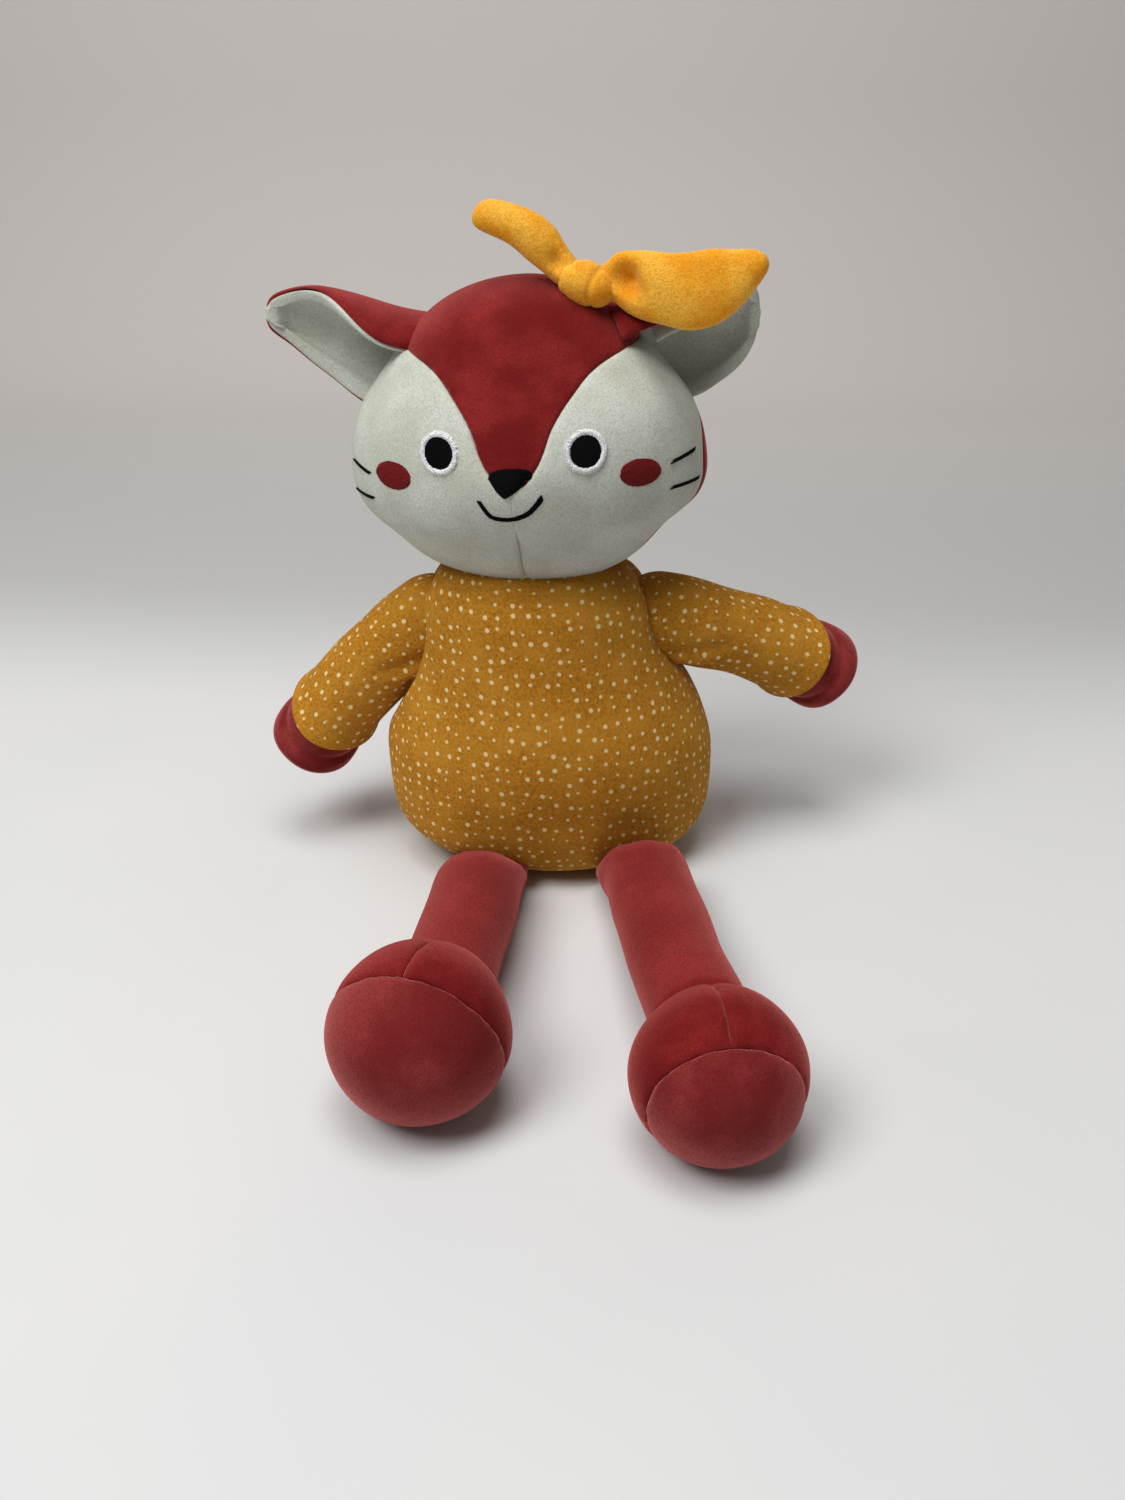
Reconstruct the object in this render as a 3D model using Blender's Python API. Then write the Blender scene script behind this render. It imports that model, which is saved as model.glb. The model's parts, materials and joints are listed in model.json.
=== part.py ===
"""A seated plush fox in a dotted jumper, built as its sewn covers, its fillings and its trims.

Metres, +Z up. The fox sits on Z = 0 and looks along -Y. Left and right are the viewer's.
Every limb turns about the round root that lies in its armhole or leg hole.
"""
import math

import bmesh
import bpy
from mathutils import Matrix, Vector

for thing in list(bpy.data.objects):
    bpy.data.objects.remove(thing, do_unlink=True)

MM = 0.001
LEFT, RIGHT = -1, 1
SIDE_NAMES = {LEFT: "left", RIGHT: "right"}

# Cloth, seams and clearances
CLOTH = 2.0 * MM
SEAM = 0.3 * MM
FILLING_GAP = 0.3 * MM
ROOT_GAP = 0.45 * MM
PATCH_GAP = 0.15 * MM
PRESSED_FLAT = 0.5 * MM
OVERRUN = 20 * MM

# Torso
TORSO_WIDTH = 128 * MM
TORSO_DEPTH = 95 * MM
TORSO_HEIGHT = 126 * MM
TORSO_LEAN = 8 * MM
SIDE_SEAM_SETBACK = 4 * MM
SEAT_ROUNDING = 30 * MM
SHOULDER_ROUNDING = 22 * MM
# Share of the height, share of the width, share of the depth
TORSO_SHARES = (
    (0.00, 0.97, 0.97), (0.16, 0.99, 0.99), (0.29, 1.00, 1.00), (0.39, 0.99, 0.99),
    (0.49, 0.93, 0.95), (0.63, 0.815, 0.87), (0.75, 0.75, 0.81), (0.85, 0.71, 0.77),
    (1.00, 0.62, 0.72),
)

# Neck: a ball of the jumper's cloth between the collar and the head
NECK_SINK = 4 * MM
NECK_BALL_SHARE = 0.19
NECK_BALL = TORSO_WIDTH * NECK_BALL_SHARE
COLLAR_DROP = 11 * MM
COLLAR_SLOPE_SHARE = 0.11
ROOM_FOR_HEAD = 1.6 * MM

# Head
HEAD_WIDTH = 127 * MM
HEAD_DEPTH_FRONT = 47 * MM
HEAD_DEPTH_BACK = 45 * MM
CROWN_HEIGHT = 60.5 * MM
JAW_HEIGHT = 44.5 * MM
CHIN_DROP = 9.5 * MM
HEAD_TURN = math.radians(-5)
HEAD_TILT = math.radians(-2)
FACE_SEAM = 8 * MM
MUZZLE_SWELL = 3 * MM
MUZZLE_WIDTH = 17 * MM
MUZZLE_HEIGHT = 13 * MM
# Level from the chin at -1 to the crown at 1, and the share of a ball's width and depth there
HEAD_SHARES = (
    (-1.0, 0.99), (-0.8, 0.965), (-0.55, 0.925), (-0.3, 0.995), (0.0, 1.0), (0.3, 0.975),
    (0.6, 0.875), (1.0, 0.85),
)
# Half the forehead patch: share of half the head's width, share of the crown's height
FOREHEAD_SHARES = (
    (0.095, 0.035), (0.135, 0.11), (0.165, 0.18), (0.213, 0.31), (0.306, 0.45),
    (0.433, 0.58), (0.63, 0.67), (0.95, 0.80), (0.95, 1.30),
)

# Face trims, set out across the head's width
EYE_APART = HEAD_WIDTH * 0.374
EYE_RISE = 11 * MM
EYE_RADIUS = 5.3 * MM
EYE_RING_RADIUS = 6.8 * MM
PATCH_THICKNESS = 0.8 * MM
NOSE_WIDTH = 13.4 * MM
NOSE_TOP = 6 * MM
NOSE_DROP = 2.4 * MM
CHEEK_APART = HEAD_WIDTH * 0.646
CHEEK_RISE = 2.4 * MM
CHEEK_WIDTH = 13.2 * MM
CHEEK_HEIGHT = 9 * MM
CHEEK_SLOPE = math.radians(14)
PATCH_MIDDLE_SHARE = 0.5
NOSE_CORNER_SHARE = 0.24
NOSE_PINCH_SHARE = 0.45
STITCH_RADIUS = 0.5 * MM
MOUTH_WIDTH = 21 * MM
MOUTH_RISE = -3.6 * MM
MOUTH_DROP = 7 * MM
WHISKER_INNER = HEAD_WIDTH / 2 * 0.806
WHISKER_OUTER = HEAD_WIDTH / 2 * 0.937
WHISKER_RISES = ((3.0 * MM, 5.8 * MM), (-5.5 * MM, -5.3 * MM))

# Ears: each is a leaf of two cloths, cupped round a line that runs from the root to the tip
EAR_LENGTH = 51 * MM
EAR_ROOT_WIDTH = 64 * MM
EAR_INSIDE_SHARE = 0.38
EAR_REACH_SHARE = 0.655
EAR_RISE_SHARE = 0.695
EAR_SETBACK = 21 * MM
EAR_FORWARD = 14 * MM
EAR_LIFT = math.radians(8)
EAR_SWEEP = {LEFT: 0.0, RIGHT: math.radians(28)}
EAR_CUP_RADIUS = 17 * MM
EAR_CUP_TURN = math.radians(42)
EAR_TIP_CUP_SHARE = 1.08
EAR_MIDDLE_SHARE = 0.45
# Share of the way from the root to the tip, share of the root's width
EAR_SHARES = ((0.0, 1.0), (0.37, 1.05), (0.685, 0.59), (0.875, 0.30), (0.968, 0.155), (1.0, 0.06))
EAR_CLOTH = 2.2 * MM
EAR_CLOTH_GAP = 0.5 * MM
EAR_FLEX = math.radians(12)
EAR_ROOT_GAP = 0.3 * MM

# Bow: a knot and two loose ends, each from its root to its tip
KNOT_WIDTH = 17 * MM
KNOT_HEIGHT = 15 * MM
KNOT_DEPTH = 15 * MM
KNOT_PLACE = Vector((23.3, -10.0)) * MM
KNOT_RISE = 5.2 * MM
BOW_GAP = 0.4 * MM
TAIL_FLEX = {LEFT: (-12, 0, 15), RIGHT: (-5, 5, 15)}
TAIL_ROOT_SHARES = {LEFT: (-0.38, 0.26), RIGHT: (0.47, 0.03)}
TAIL_TIP = {LEFT: Vector((-29.5, 2.0, 20.0)) * MM, RIGHT: Vector((48.0, -22.0, 14.0)) * MM}
TAIL_WIDTH = {LEFT: 12 * MM, RIGHT: 24 * MM}
TAIL_DEPTH = {LEFT: 9.5 * MM, RIGHT: 10 * MM}
# Share of the length, share of the width, and how far the middle lies up, as a share of the width
TAIL_SHARES = {
    LEFT: ((0.0, 0.85, 0.0), (0.3, 0.98, 0.18), (0.6, 0.92, 0.25), (1.0, 0.80, 0.0)),
    RIGHT: ((0.0, 0.45, 0.0), (0.19, 0.92, -0.14), (0.45, 1.0, -0.27), (0.77, 0.76, -0.24),
            (1.0, 0.50, -0.08)),
}

# Arms
# Share of the torso's height, share of its half width there
SHOULDER_SHARES = {LEFT: (0.762, 0.863), RIGHT: (0.770, 0.945)}
ARM_DROOP = {LEFT: math.radians(38), RIGHT: math.radians(14)}
ARM_SWEEP = {LEFT: math.radians(8), RIGHT: math.radians(14)}
ARM_BEND = math.radians(16)
ARM_LENGTH = 69 * MM
ARM_ROOT_SHARE = 0.14
ARM_ROOT = TORSO_WIDTH * ARM_ROOT_SHARE
ARM_ROOT_DEPTH_SHARE = 0.86
ARM_RADIUS = 15.4 * MM
CUFF_RADIUS = 16.6 * MM
CUFF_PLACE_SHARE = 0.80
HAND_RADIUS = 17.2 * MM
HAND_CAP = 16.5 * MM
ARM_RANGE = {LEFT: (-2, 62), RIGHT: (-24, 38)}

# Legs
LEG_RADIUS = 16 * MM
HIP_HEIGHT = LEG_RADIUS + 1.2 * MM
# Share of the torso's half width, and how far the hip lies in front of the torso there
HIP_SHARE = {LEFT: -0.406, RIGHT: 0.50}
HIP_STANDOFF = {LEFT: 3 * MM, RIGHT: 12.8 * MM}
LEG_REACH = {LEFT: 111 * MM, RIGHT: 120 * MM}
LEG_SPLAY = {LEFT: math.radians(3), RIGHT: math.radians(7.5)}
LEG_BEND = {LEFT: math.radians(14), RIGHT: math.radians(-2)}
ANKLE_RADIUS = 15 * MM
FOOT_RADIUS = 27 * MM
# Share of the foot's radius, and how far the sole faces down
SOLE_PLACE_SHARE = {LEFT: 0.08, RIGHT: 0.42}
SOLE_TILT = {LEFT: math.radians(18), RIGHT: math.radians(12)}
LEG_RANGE = (-90, 30)

# Facet counts
BODY_SIDE_COUNT = 28
BODY_RING_COUNT = 16
HEAD_SIDE_COUNT = 32
HEAD_RING_COUNT = 18
ARM_SIDE_COUNT = 20
ARM_RING_COUNT = 16
LEG_SIDE_COUNT = 20
LEG_RING_COUNT = 18
EAR_ROW_COUNT = 9
EAR_COLUMN_COUNT = 10
HOLE_SIDE_COUNT = 24
KNOT_SIDE_COUNT = 16
KNOT_RING_COUNT = 10
TAIL_SIDE_COUNT = 14
TAIL_RING_COUNT = 12
PATCH_SIDE_COUNT = 20
STITCH_POINTS = 13
STITCH_FACET_COUNT = 1
ROOT_RING_COUNT = 4
CAP_RING_COUNT = 4
ANKLE_RING_COUNT = 8
COARSE_COUNT = 2
LEVEL_TRY_COUNT = 5

COLOURS = {
    "yellow": (0.80, 0.40, 0.045, 1),
    "red": (0.42, 0.035, 0.035, 1),
    "white": (0.72, 0.72, 0.64, 1),
    "bow": (0.84, 0.42, 0.03, 1),
    "black": (0.008, 0.008, 0.010, 1),
    "thread": (0.86, 0.88, 0.90, 1),
    "filling": (0.85, 0.85, 0.83, 1),
}


def between(low, high, share):
    return low + (high - low) * share


def smooth(points, place):
    """A value read from (place, value) pairs, with an easy curve through all of them."""
    if place <= points[0][0]:
        return points[0][1]
    if place >= points[-1][0]:
        return points[-1][1]
    slopes = [0.0] * len(points)
    for i in range(1, len(points) - 1):
        slopes[i] = (points[i + 1][1] - points[i - 1][1]) / (points[i + 1][0] - points[i - 1][0])
    for i, ((a, low), (b, high)) in enumerate(zip(points, points[1:])):
        if place <= b:
            t = (place - a) / (b - a)
            ease = t * t * (3 - 2 * t)
            rise = t * (1 - t) ** 2 * slopes[i] - t * t * (1 - t) * slopes[i + 1]
            return between(low, high, ease) + rise * (b - a)


def material(colour):
    made = bpy.data.materials.get(colour)
    if made is None:
        made = bpy.data.materials.new(colour)
        made.use_nodes = True
        shader = made.node_tree.nodes["Principled BSDF"]
        shader.inputs["Base Color"].default_value = COLOURS[colour]
        shader.inputs["Roughness"].default_value = 0.9
        shader.inputs["Metallic"].default_value = 0.0
    return made


def named_material(name, colour):
    made = material(colour).copy()
    made.name = name
    return made


def add_object(name, bm, colour=None, pivot=None):
    """Put a finished bmesh in the scene, under the empty that it turns about."""
    mesh = bpy.data.meshes.new(name)
    bm.to_mesh(mesh)
    bm.free()
    made = bpy.data.objects.new(name, mesh)
    bpy.context.collection.objects.link(made)
    if pivot is not None:
        made.parent = pivot
    if colour == "cutter":
        made.hide_render = True
        made.display_type = "WIRE"
    else:
        mesh.materials.append(named_material(name, colour))
        mesh.shade_smooth()
        mesh.set_sharp_from_angle(angle=math.radians(50))
    return made


def add_pivot(name, place, turn=Matrix.Identity(3), parent=None):
    """An empty on a joint's axis."""
    made = bpy.data.objects.new(name, None)
    bpy.context.collection.objects.link(made)
    made.matrix_world = Matrix.Translation(place) @ turn.to_4x4()
    if parent is not None:
        made.parent = parent
    return made


def bent_pivot(name, place, turn, parent):
    """An empty that carries what is fixed to its parent, turned about a place on it."""
    made = add_pivot(name, (0, 0, 0), parent=parent)
    made.matrix_local = Matrix.Translation(place) @ turn @ Matrix.Translation(-place)
    return made


def cut(target, cutter, operation="DIFFERENCE", solver="EXACT"):
    modifier = target.modifiers.new(cutter.name, "BOOLEAN")
    modifier.operation = operation
    modifier.object = cutter
    modifier.solver = solver


def face_outwards(bm):
    """Turn a closed mesh right side out."""
    bmesh.ops.recalc_face_normals(bm, faces=bm.faces)
    if bm.calc_volume(signed=True) < 0:
        bmesh.ops.reverse_faces(bm, faces=bm.faces)


def shaped_ball(sides, rings, place, grow=0.0):
    """A closed form: a ball whose points go where place(share down, angle round) says."""
    bm = bmesh.new()
    bmesh.ops.create_uvsphere(bm, u_segments=sides, v_segments=rings, radius=1)
    for vert in bm.verts:
        down = math.acos(max(-1.0, min(1.0, vert.co.z))) / math.pi
        vert.co = place(down, math.atan2(vert.co.y, vert.co.x))
    face_outwards(bm)
    if grow:
        bm.normal_update()
        moves = [(vert, vert.normal * grow) for vert in bm.verts]
        for vert, move in moves:
            vert.co += move
    return bm


def with_hollow(outer, inner):
    """Turn a form into a cloth cover: the inner form becomes the inside of its wall."""
    bmesh.ops.reverse_faces(inner, faces=inner.faces)
    spare = bpy.data.meshes.new("spare")
    inner.to_mesh(spare)
    inner.free()
    outer.from_mesh(spare)
    bpy.data.meshes.remove(spare)
    return outer


def trim(bm, place, outward):
    """Cut away all that lies beyond a plane, and close the cut."""
    outward = Vector(outward).normalized()
    everything = bm.verts[:] + bm.edges[:] + bm.faces[:]
    found = bmesh.ops.bisect_plane(
        bm, geom=everything, plane_co=place, plane_no=outward, clear_outer=True)
    edges = [item for item in found["geom_cut"] if isinstance(item, bmesh.types.BMEdge)]
    made = bmesh.ops.triangle_fill(bm, edges=edges, normal=outward, use_beauty=True)
    faces = [item for item in made["geom"] if isinstance(item, bmesh.types.BMFace)]
    for face in faces:
        face.normal_update()
        if face.normal.dot(outward) < 0:
            face.normal_flip()
    return bm


def ball_cutter(name, radius, pivot):
    """A round cutter whose facets lie outside the ball that it clears."""
    bm = bmesh.new()
    reach = radius / math.cos(math.pi / HOLE_SIDE_COUNT) ** 2
    bmesh.ops.create_uvsphere(bm, u_segments=HOLE_SIDE_COUNT, v_segments=HOLE_SIDE_COUNT // 2, radius=reach)
    return add_object(name, bm, "cutter", pivot)


# Torso form

def torso_middle(height):
    """How far to the side the torso has leaned at a height."""
    return -TORSO_LEAN * max(0.0, height / TORSO_HEIGHT) ** 1.5


def torso_half_sizes(height):
    """Half the torso's width and depth at a height."""
    low = -PRESSED_FLAT
    share = height / TORSO_HEIGHT
    seat = max(0.0, 1 - (height - low) / SEAT_ROUNDING)
    collar = max(0.0, 1 - (TORSO_HEIGHT - height) / SHOULDER_ROUNDING)
    close = (1 - seat ** 3) ** (1 / 3) * math.sqrt(max(0.0, 1 - collar ** 2))
    wide = TORSO_WIDTH / 2 * smooth([(s, w) for s, w, d in TORSO_SHARES], share) * close
    deep = TORSO_DEPTH / 2 * smooth([(s, d) for s, w, d in TORSO_SHARES], share) * close
    return wide, deep


def torso_point(down, angle):
    low = -PRESSED_FLAT
    height = low + (TORSO_HEIGHT - low) * (1 + math.cos(math.pi * down)) / 2
    wide, deep = torso_half_sizes(height)
    return Vector((torso_middle(height) + wide * math.cos(angle), deep * math.sin(angle), height))


def torso_form(coarse=1, grow=0.0):
    return shaped_ball(BODY_SIDE_COUNT // coarse, BODY_RING_COUNT // coarse, torso_point, grow)


# Head form, about the neck pivot

HEAD_RISE = JAW_HEIGHT - CHIN_DROP


def head_point(down, angle):
    level = math.cos(math.pi * down)
    height = HEAD_RISE + level * (CROWN_HEIGHT if level > 0 else JAW_HEIGHT)
    ring = math.sin(math.pi * down) * smooth(HEAD_SHARES, level)
    x = HEAD_WIDTH / 2 * ring * math.cos(angle)
    front = math.sin(angle) < 0
    y = (HEAD_DEPTH_FRONT if front else HEAD_DEPTH_BACK) * ring * math.sin(angle)
    if front:
        y -= muzzle(x, height - HEAD_RISE)
    return Vector((x, y, height))


def muzzle(x, rise):
    return MUZZLE_SWELL * math.exp(-(x / MUZZLE_WIDTH) ** 2 - (rise / MUZZLE_HEIGHT) ** 2)


def head_form(coarse=1, grow=0.0):
    return shaped_ball(HEAD_SIDE_COUNT // coarse, HEAD_RING_COUNT // coarse, head_point, grow)


def face_depth(x, rise):
    """How far in front of the neck pivot the face is, at a place on it."""
    level = rise / (CROWN_HEIGHT if rise > 0 else JAW_HEIGHT)
    share = smooth(HEAD_SHARES, level)
    left_over = 1 - (x / (HEAD_WIDTH / 2 * share)) ** 2 - level ** 2
    return -HEAD_DEPTH_FRONT * share * math.sqrt(max(0.0, left_over)) - muzzle(x, rise)


# Limb form: a bent sausage with a round root at the pivot, running along +X

def limb_point(down, angle, size):
    """size holds length, bend, root and cap radii, how deep the root is, and girth(place)."""
    along = -size["root"] * math.cos(math.pi / 2 * min(1.0, down / size["root_share"]))
    end = 1 - size["cap_share"]
    if down > size["root_share"]:
        along = size["length"] * (min(down, end) - size["root_share"]) / (end - size["root_share"])
    if down > end:
        along = size["length"] + size["cap"] * math.sin(math.pi / 2 * (down - end) / size["cap_share"])
    girth = size["girth"](along)
    travelled = max(0.0, along)
    turn = size["bend"] * (travelled / size["length"]) ** size["bend_power"]
    power = size["bend_power"] + 1
    aside = size["bend"] * size["length"] / power * (travelled / size["length"]) ** power
    forward = Vector((along, 0, -aside))
    across = Vector((math.sin(turn), 0, math.cos(turn)))
    deep = between(size["depth_share"], 1.0, min(1.0, travelled / size["root"]))
    return forward + across * girth * math.cos(angle) + Vector((0, girth * deep * math.sin(angle), 0))


def arm_girth(along):
    if along < 0:
        return math.sqrt(max(0.0, ARM_ROOT ** 2 - along ** 2))
    cuff = ARM_LENGTH * CUFF_PLACE_SHARE
    body = smooth([
        (0, ARM_ROOT), (0.35 * cuff, ARM_RADIUS), (0.7 * cuff, ARM_RADIUS), (cuff, CUFF_RADIUS),
        (ARM_LENGTH, HAND_RADIUS)], along)
    over = max(0.0, along - ARM_LENGTH) / HAND_CAP
    return body * math.sqrt(max(0.0, 1 - over ** 2))


def arm_size():
    return {
        "length": ARM_LENGTH, "bend": ARM_BEND, "bend_power": 1, "root": ARM_ROOT,
        "cap": HAND_CAP, "depth_share": ARM_ROOT_DEPTH_SHARE, "girth": arm_girth,
        "root_share": ROOT_RING_COUNT / ARM_RING_COUNT, "cap_share": CAP_RING_COUNT / ARM_RING_COUNT,
    }


def arm_form(side, coarse=1, grow=0.0):
    size = arm_size()

    def place(down, angle):
        point = limb_point(down, angle, size)
        return Vector((point.x * side, point.y, point.z))
    return shaped_ball(ARM_SIDE_COUNT // coarse, ARM_RING_COUNT // coarse, place, grow)


def leg_girth(side):
    reach = LEG_REACH[side]
    ankle = reach - math.sqrt(FOOT_RADIUS ** 2 - ANKLE_RADIUS ** 2)

    def girth(along):
        if along < 0:
            return math.sqrt(max(0.0, LEG_RADIUS ** 2 - along ** 2))
        if along < ankle:
            return smooth([(0, LEG_RADIUS), (ankle, ANKLE_RADIUS)], along)
        return math.sqrt(max(0.0, FOOT_RADIUS ** 2 - (along - reach) ** 2))
    return girth, ankle


def leg_point(side, down, angle):
    """A point of the leg about its hip, the leg running along -Y and its ball foot at the end."""
    girth, ankle = leg_girth(side)
    reach = LEG_REACH[side]
    root_share, ankle_share = ROOT_RING_COUNT / LEG_RING_COUNT, ANKLE_RING_COUNT / LEG_RING_COUNT
    if down <= root_share:
        along = -LEG_RADIUS * math.cos(math.pi / 2 * down / root_share)
    elif down <= ankle_share:
        along = ankle * (down - root_share) / (ankle_share - root_share)
    else:
        start = math.asin(ANKLE_RADIUS / FOOT_RADIUS)
        swing = between(start, math.pi, (down - ankle_share) / (1 - ankle_share))
        along = reach - FOOT_RADIUS * math.cos(swing)
    bend = LEG_BEND[side] * side
    travelled = max(0.0, along) / reach
    turn = bend * travelled ** 3
    aside = bend * reach / 4 * travelled ** 4
    across = Vector((math.cos(turn), math.sin(turn), 0))
    round_ = across * math.cos(angle) + Vector((0, 0, math.sin(angle)))
    return Vector((aside, -along, 0)) + round_ * girth(along)


def leg_form(side, coarse=1, grow=0.0):
    return shaped_ball(
        LEG_SIDE_COUNT // coarse, LEG_RING_COUNT // coarse, lambda d, a: leg_point(side, d, a), grow)


def cover(form, coarse=COARSE_COUNT):
    """The cloth wall over a form, not yet cut into its panels."""
    return with_hollow(form(), form(coarse=coarse, grow=-CLOTH))


def filling(form, coarse=COARSE_COUNT):
    return form(coarse=coarse, grow=-(CLOTH + FILLING_GAP))


# Pivots

neck_place = Vector((-TORSO_LEAN, 0, TORSO_HEIGHT - NECK_SINK))
head_turn = Matrix.Rotation(HEAD_TURN, 3, "Z") @ Matrix.Rotation(HEAD_TILT, 3, "Y")
neck_pivot = add_pivot("neck_pivot", neck_place)
head_pivot = add_pivot("head_pivot", neck_place, head_turn)


def arm_turn(side, raised=0.0):
    """Raised is in degrees from the pose at rest."""
    droop = Matrix.Rotation(side * (ARM_DROOP[side] - math.radians(raised)), 3, "Y")
    return Matrix.Rotation(side * ARM_SWEEP[side], 3, "Z") @ droop


def arm_place(side):
    height_share, reach_share = SHOULDER_SHARES[side]
    height = TORSO_HEIGHT * height_share
    reach = torso_half_sizes(height)[0] * reach_share
    return Vector((torso_middle(height) + side * reach, 0, height))


def leg_turn(side, raised=0.0):
    climb = math.asin((FOOT_RADIUS - PRESSED_FLAT - HIP_HEIGHT) / LEG_REACH[side])
    lift = Matrix.Rotation(-math.radians(raised), 3, "X")
    return lift @ Matrix.Rotation(side * LEG_SPLAY[side], 3, "Z") @ Matrix.Rotation(-climb, 3, "X")


def leg_place(side):
    wide, deep = torso_half_sizes(HIP_HEIGHT)
    aside = TORSO_WIDTH / 2 * HIP_SHARE[side]
    surface = deep * math.sqrt(max(0.0, 1 - (aside / wide) ** 2))
    return Vector((aside, -surface - HIP_STANDOFF[side], HIP_HEIGHT))


arm_pivots = {
    side: add_pivot(f"arm_{name}_pivot", arm_place(side), arm_turn(side))
    for side, name in SIDE_NAMES.items()}
leg_pivots = {
    side: add_pivot(f"leg_{name}_pivot", leg_place(side), leg_turn(side))
    for side, name in SIDE_NAMES.items()}


# Arms: a sleeve, a hand and the filling

def make_arm(side):
    name = SIDE_NAMES[side]
    pivot = arm_pivots[side]
    cuff = ARM_LENGTH * CUFF_PLACE_SHARE
    turn = ARM_BEND * CUFF_PLACE_SHARE
    aside = ARM_BEND * ARM_LENGTH / 2 * CUFF_PLACE_SHARE ** 2
    outward = Vector((side * math.cos(turn), 0, -math.sin(turn)))
    place = Vector((side * cuff, 0, -aside))

    def form(coarse=1, grow=0.0):
        return arm_form(side, coarse, grow)

    sleeve = trim(cover(form), place - outward * SEAM / 2, outward)
    add_object(f"sleeve_{name}", sleeve, "yellow", pivot)
    hand = trim(cover(form), place + outward * SEAM / 2, -outward)
    add_object(f"hand_{name}", hand, "red", pivot)
    add_object(f"arm_filling_{name}", filling(form), "filling", pivot)


# Legs: a tube, two foot uppers, a sole and the filling

def make_leg(side):
    name = SIDE_NAMES[side]
    pivot = leg_pivots[side]
    ankle = leg_girth(side)[1]
    reach = LEG_REACH[side]
    floor = pivot.matrix_world.inverted()
    down = floor.to_3x3() @ Vector((0, 0, -1))
    floor_place = floor @ Vector((0, 0, 0))

    def form(coarse=1, grow=0.0):
        return leg_form(side, coarse, grow)

    def seam_frame(along):
        bend = LEG_BEND[side] * side
        share = along / reach
        forward = Vector((math.sin(bend * share ** 3), -math.cos(bend * share ** 3), 0))
        return Vector((bend * reach / 4 * share ** 4, -along, 0)), forward

    ankle_place, ankle_way = seam_frame(ankle)
    foot_place, foot_way = seam_frame(reach)
    aside = Vector((-foot_way.y, foot_way.x, 0)) * -side
    sole_way = foot_way * math.cos(SOLE_TILT[side]) - Vector((0, 0, math.sin(SOLE_TILT[side])))
    sole_place = foot_place + sole_way * FOOT_RADIUS * SOLE_PLACE_SHARE[side]

    tube = trim(cover(form), ankle_place - ankle_way * SEAM / 2, ankle_way)
    add_object(f"leg_{name}", tube, "red", pivot)
    for part, way in (("outer", aside), ("inner", -aside)):
        upper = trim(cover(form), ankle_place + ankle_way * SEAM / 2, -ankle_way)
        upper = trim(upper, sole_place - sole_way * SEAM / 2, sole_way)
        upper = trim(upper, foot_place + way * SEAM / 2, -way)
        upper = trim(upper, floor_place, down)
        add_object(f"foot_{part}_{name}", upper, "red", pivot)
    sole_cover = trim(cover(form), sole_place + sole_way * SEAM / 2, -sole_way)
    sole_cover = trim(sole_cover, floor_place, down)
    add_object(f"sole_{name}", sole_cover, "red", pivot)
    add_object(f"leg_filling_{name}", filling(form), "filling", pivot)


# Torso: two cover panels and the filling, with holes for the neck and the limb roots

def cut_holes(name, covers, inside, form, place, turn, poses):
    """Open the torso for a limb's root at each of the poses that the limb reaches."""
    for number, raised in enumerate(poses):
        at = add_pivot(f"{name}_{number}_pivot", place, turn(raised))
        hole = add_object(f"{name}_{number}", form(grow=ROOT_GAP), "cutter", at)
        wide = add_object(
            f"{name}_{number}_inside", form(coarse=COARSE_COUNT, grow=ROOT_GAP + CLOTH), "cutter", at)
        for piece in covers:
            cut(piece, hole, solver="MANIFOLD")
        cut(inside, wide, solver="MANIFOLD")


def round_jaw():
    """The room that the head's underside sweeps as the head turns."""
    bm = bmesh.new()
    bmesh.ops.create_uvsphere(bm, u_segments=HOLE_SIDE_COUNT, v_segments=HOLE_SIDE_COUNT, radius=1)
    wide, tall = HEAD_WIDTH / 2 + ROOM_FOR_HEAD, JAW_HEIGHT + ROOM_FOR_HEAD
    bmesh.ops.scale(bm, vec=(wide, wide, tall), verts=bm.verts)
    bmesh.ops.translate(bm, vec=(0, 0, HEAD_RISE), verts=bm.verts)
    return bm


def make_torso():
    collar = Vector((0, 0, TORSO_HEIGHT - COLLAR_DROP))
    collar_way = Vector((0, COLLAR_SLOPE_SHARE, 1))
    side_seam = Vector((0, SIDE_SEAM_SETBACK, 0))
    front = trim(cover(torso_form), side_seam - Vector((0, SEAM / 2, 0)), (0, 1, 0))
    back = trim(cover(torso_form), side_seam + Vector((0, SEAM / 2, 0)), (0, -1, 0))
    pieces = []
    for name, bm in (("torso_front", front), ("torso_back", back)):
        trim(bm, Vector((0, 0, 0)), (0, 0, -1))
        trim(bm, collar, collar_way)
        pieces.append(add_object(name, bm, "yellow"))
    inside = trim(filling(torso_form), collar, collar_way)
    pieces.append(add_object("torso_filling", inside, "filling"))
    front, back, inside = pieces

    neck_hole = ball_cutter("neck_hole", NECK_BALL + ROOT_GAP, neck_pivot)
    head_room = add_object("room_for_head", round_jaw(), "cutter", neck_pivot)
    for piece in pieces:
        cut(piece, neck_hole)
        cut(piece, head_room, solver="MANIFOLD")
    for side, name in SIDE_NAMES.items():
        low, high = ARM_RANGE[side]
        cut_holes(
            f"armhole_{name}", (front, back), inside,
            lambda coarse=1, grow=0.0, side=side: arm_form(side, coarse, grow),
            arm_place(side), lambda raised, side=side: arm_turn(side, raised), (low, high))
        low, high = LEG_RANGE
        cut_holes(
            f"leg_hole_{name}", (front,), inside,
            lambda coarse=1, grow=0.0, side=side: leg_form(side, coarse, grow),
            leg_place(side), lambda raised, side=side: leg_turn(side, raised), (low, 0, high))


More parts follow.
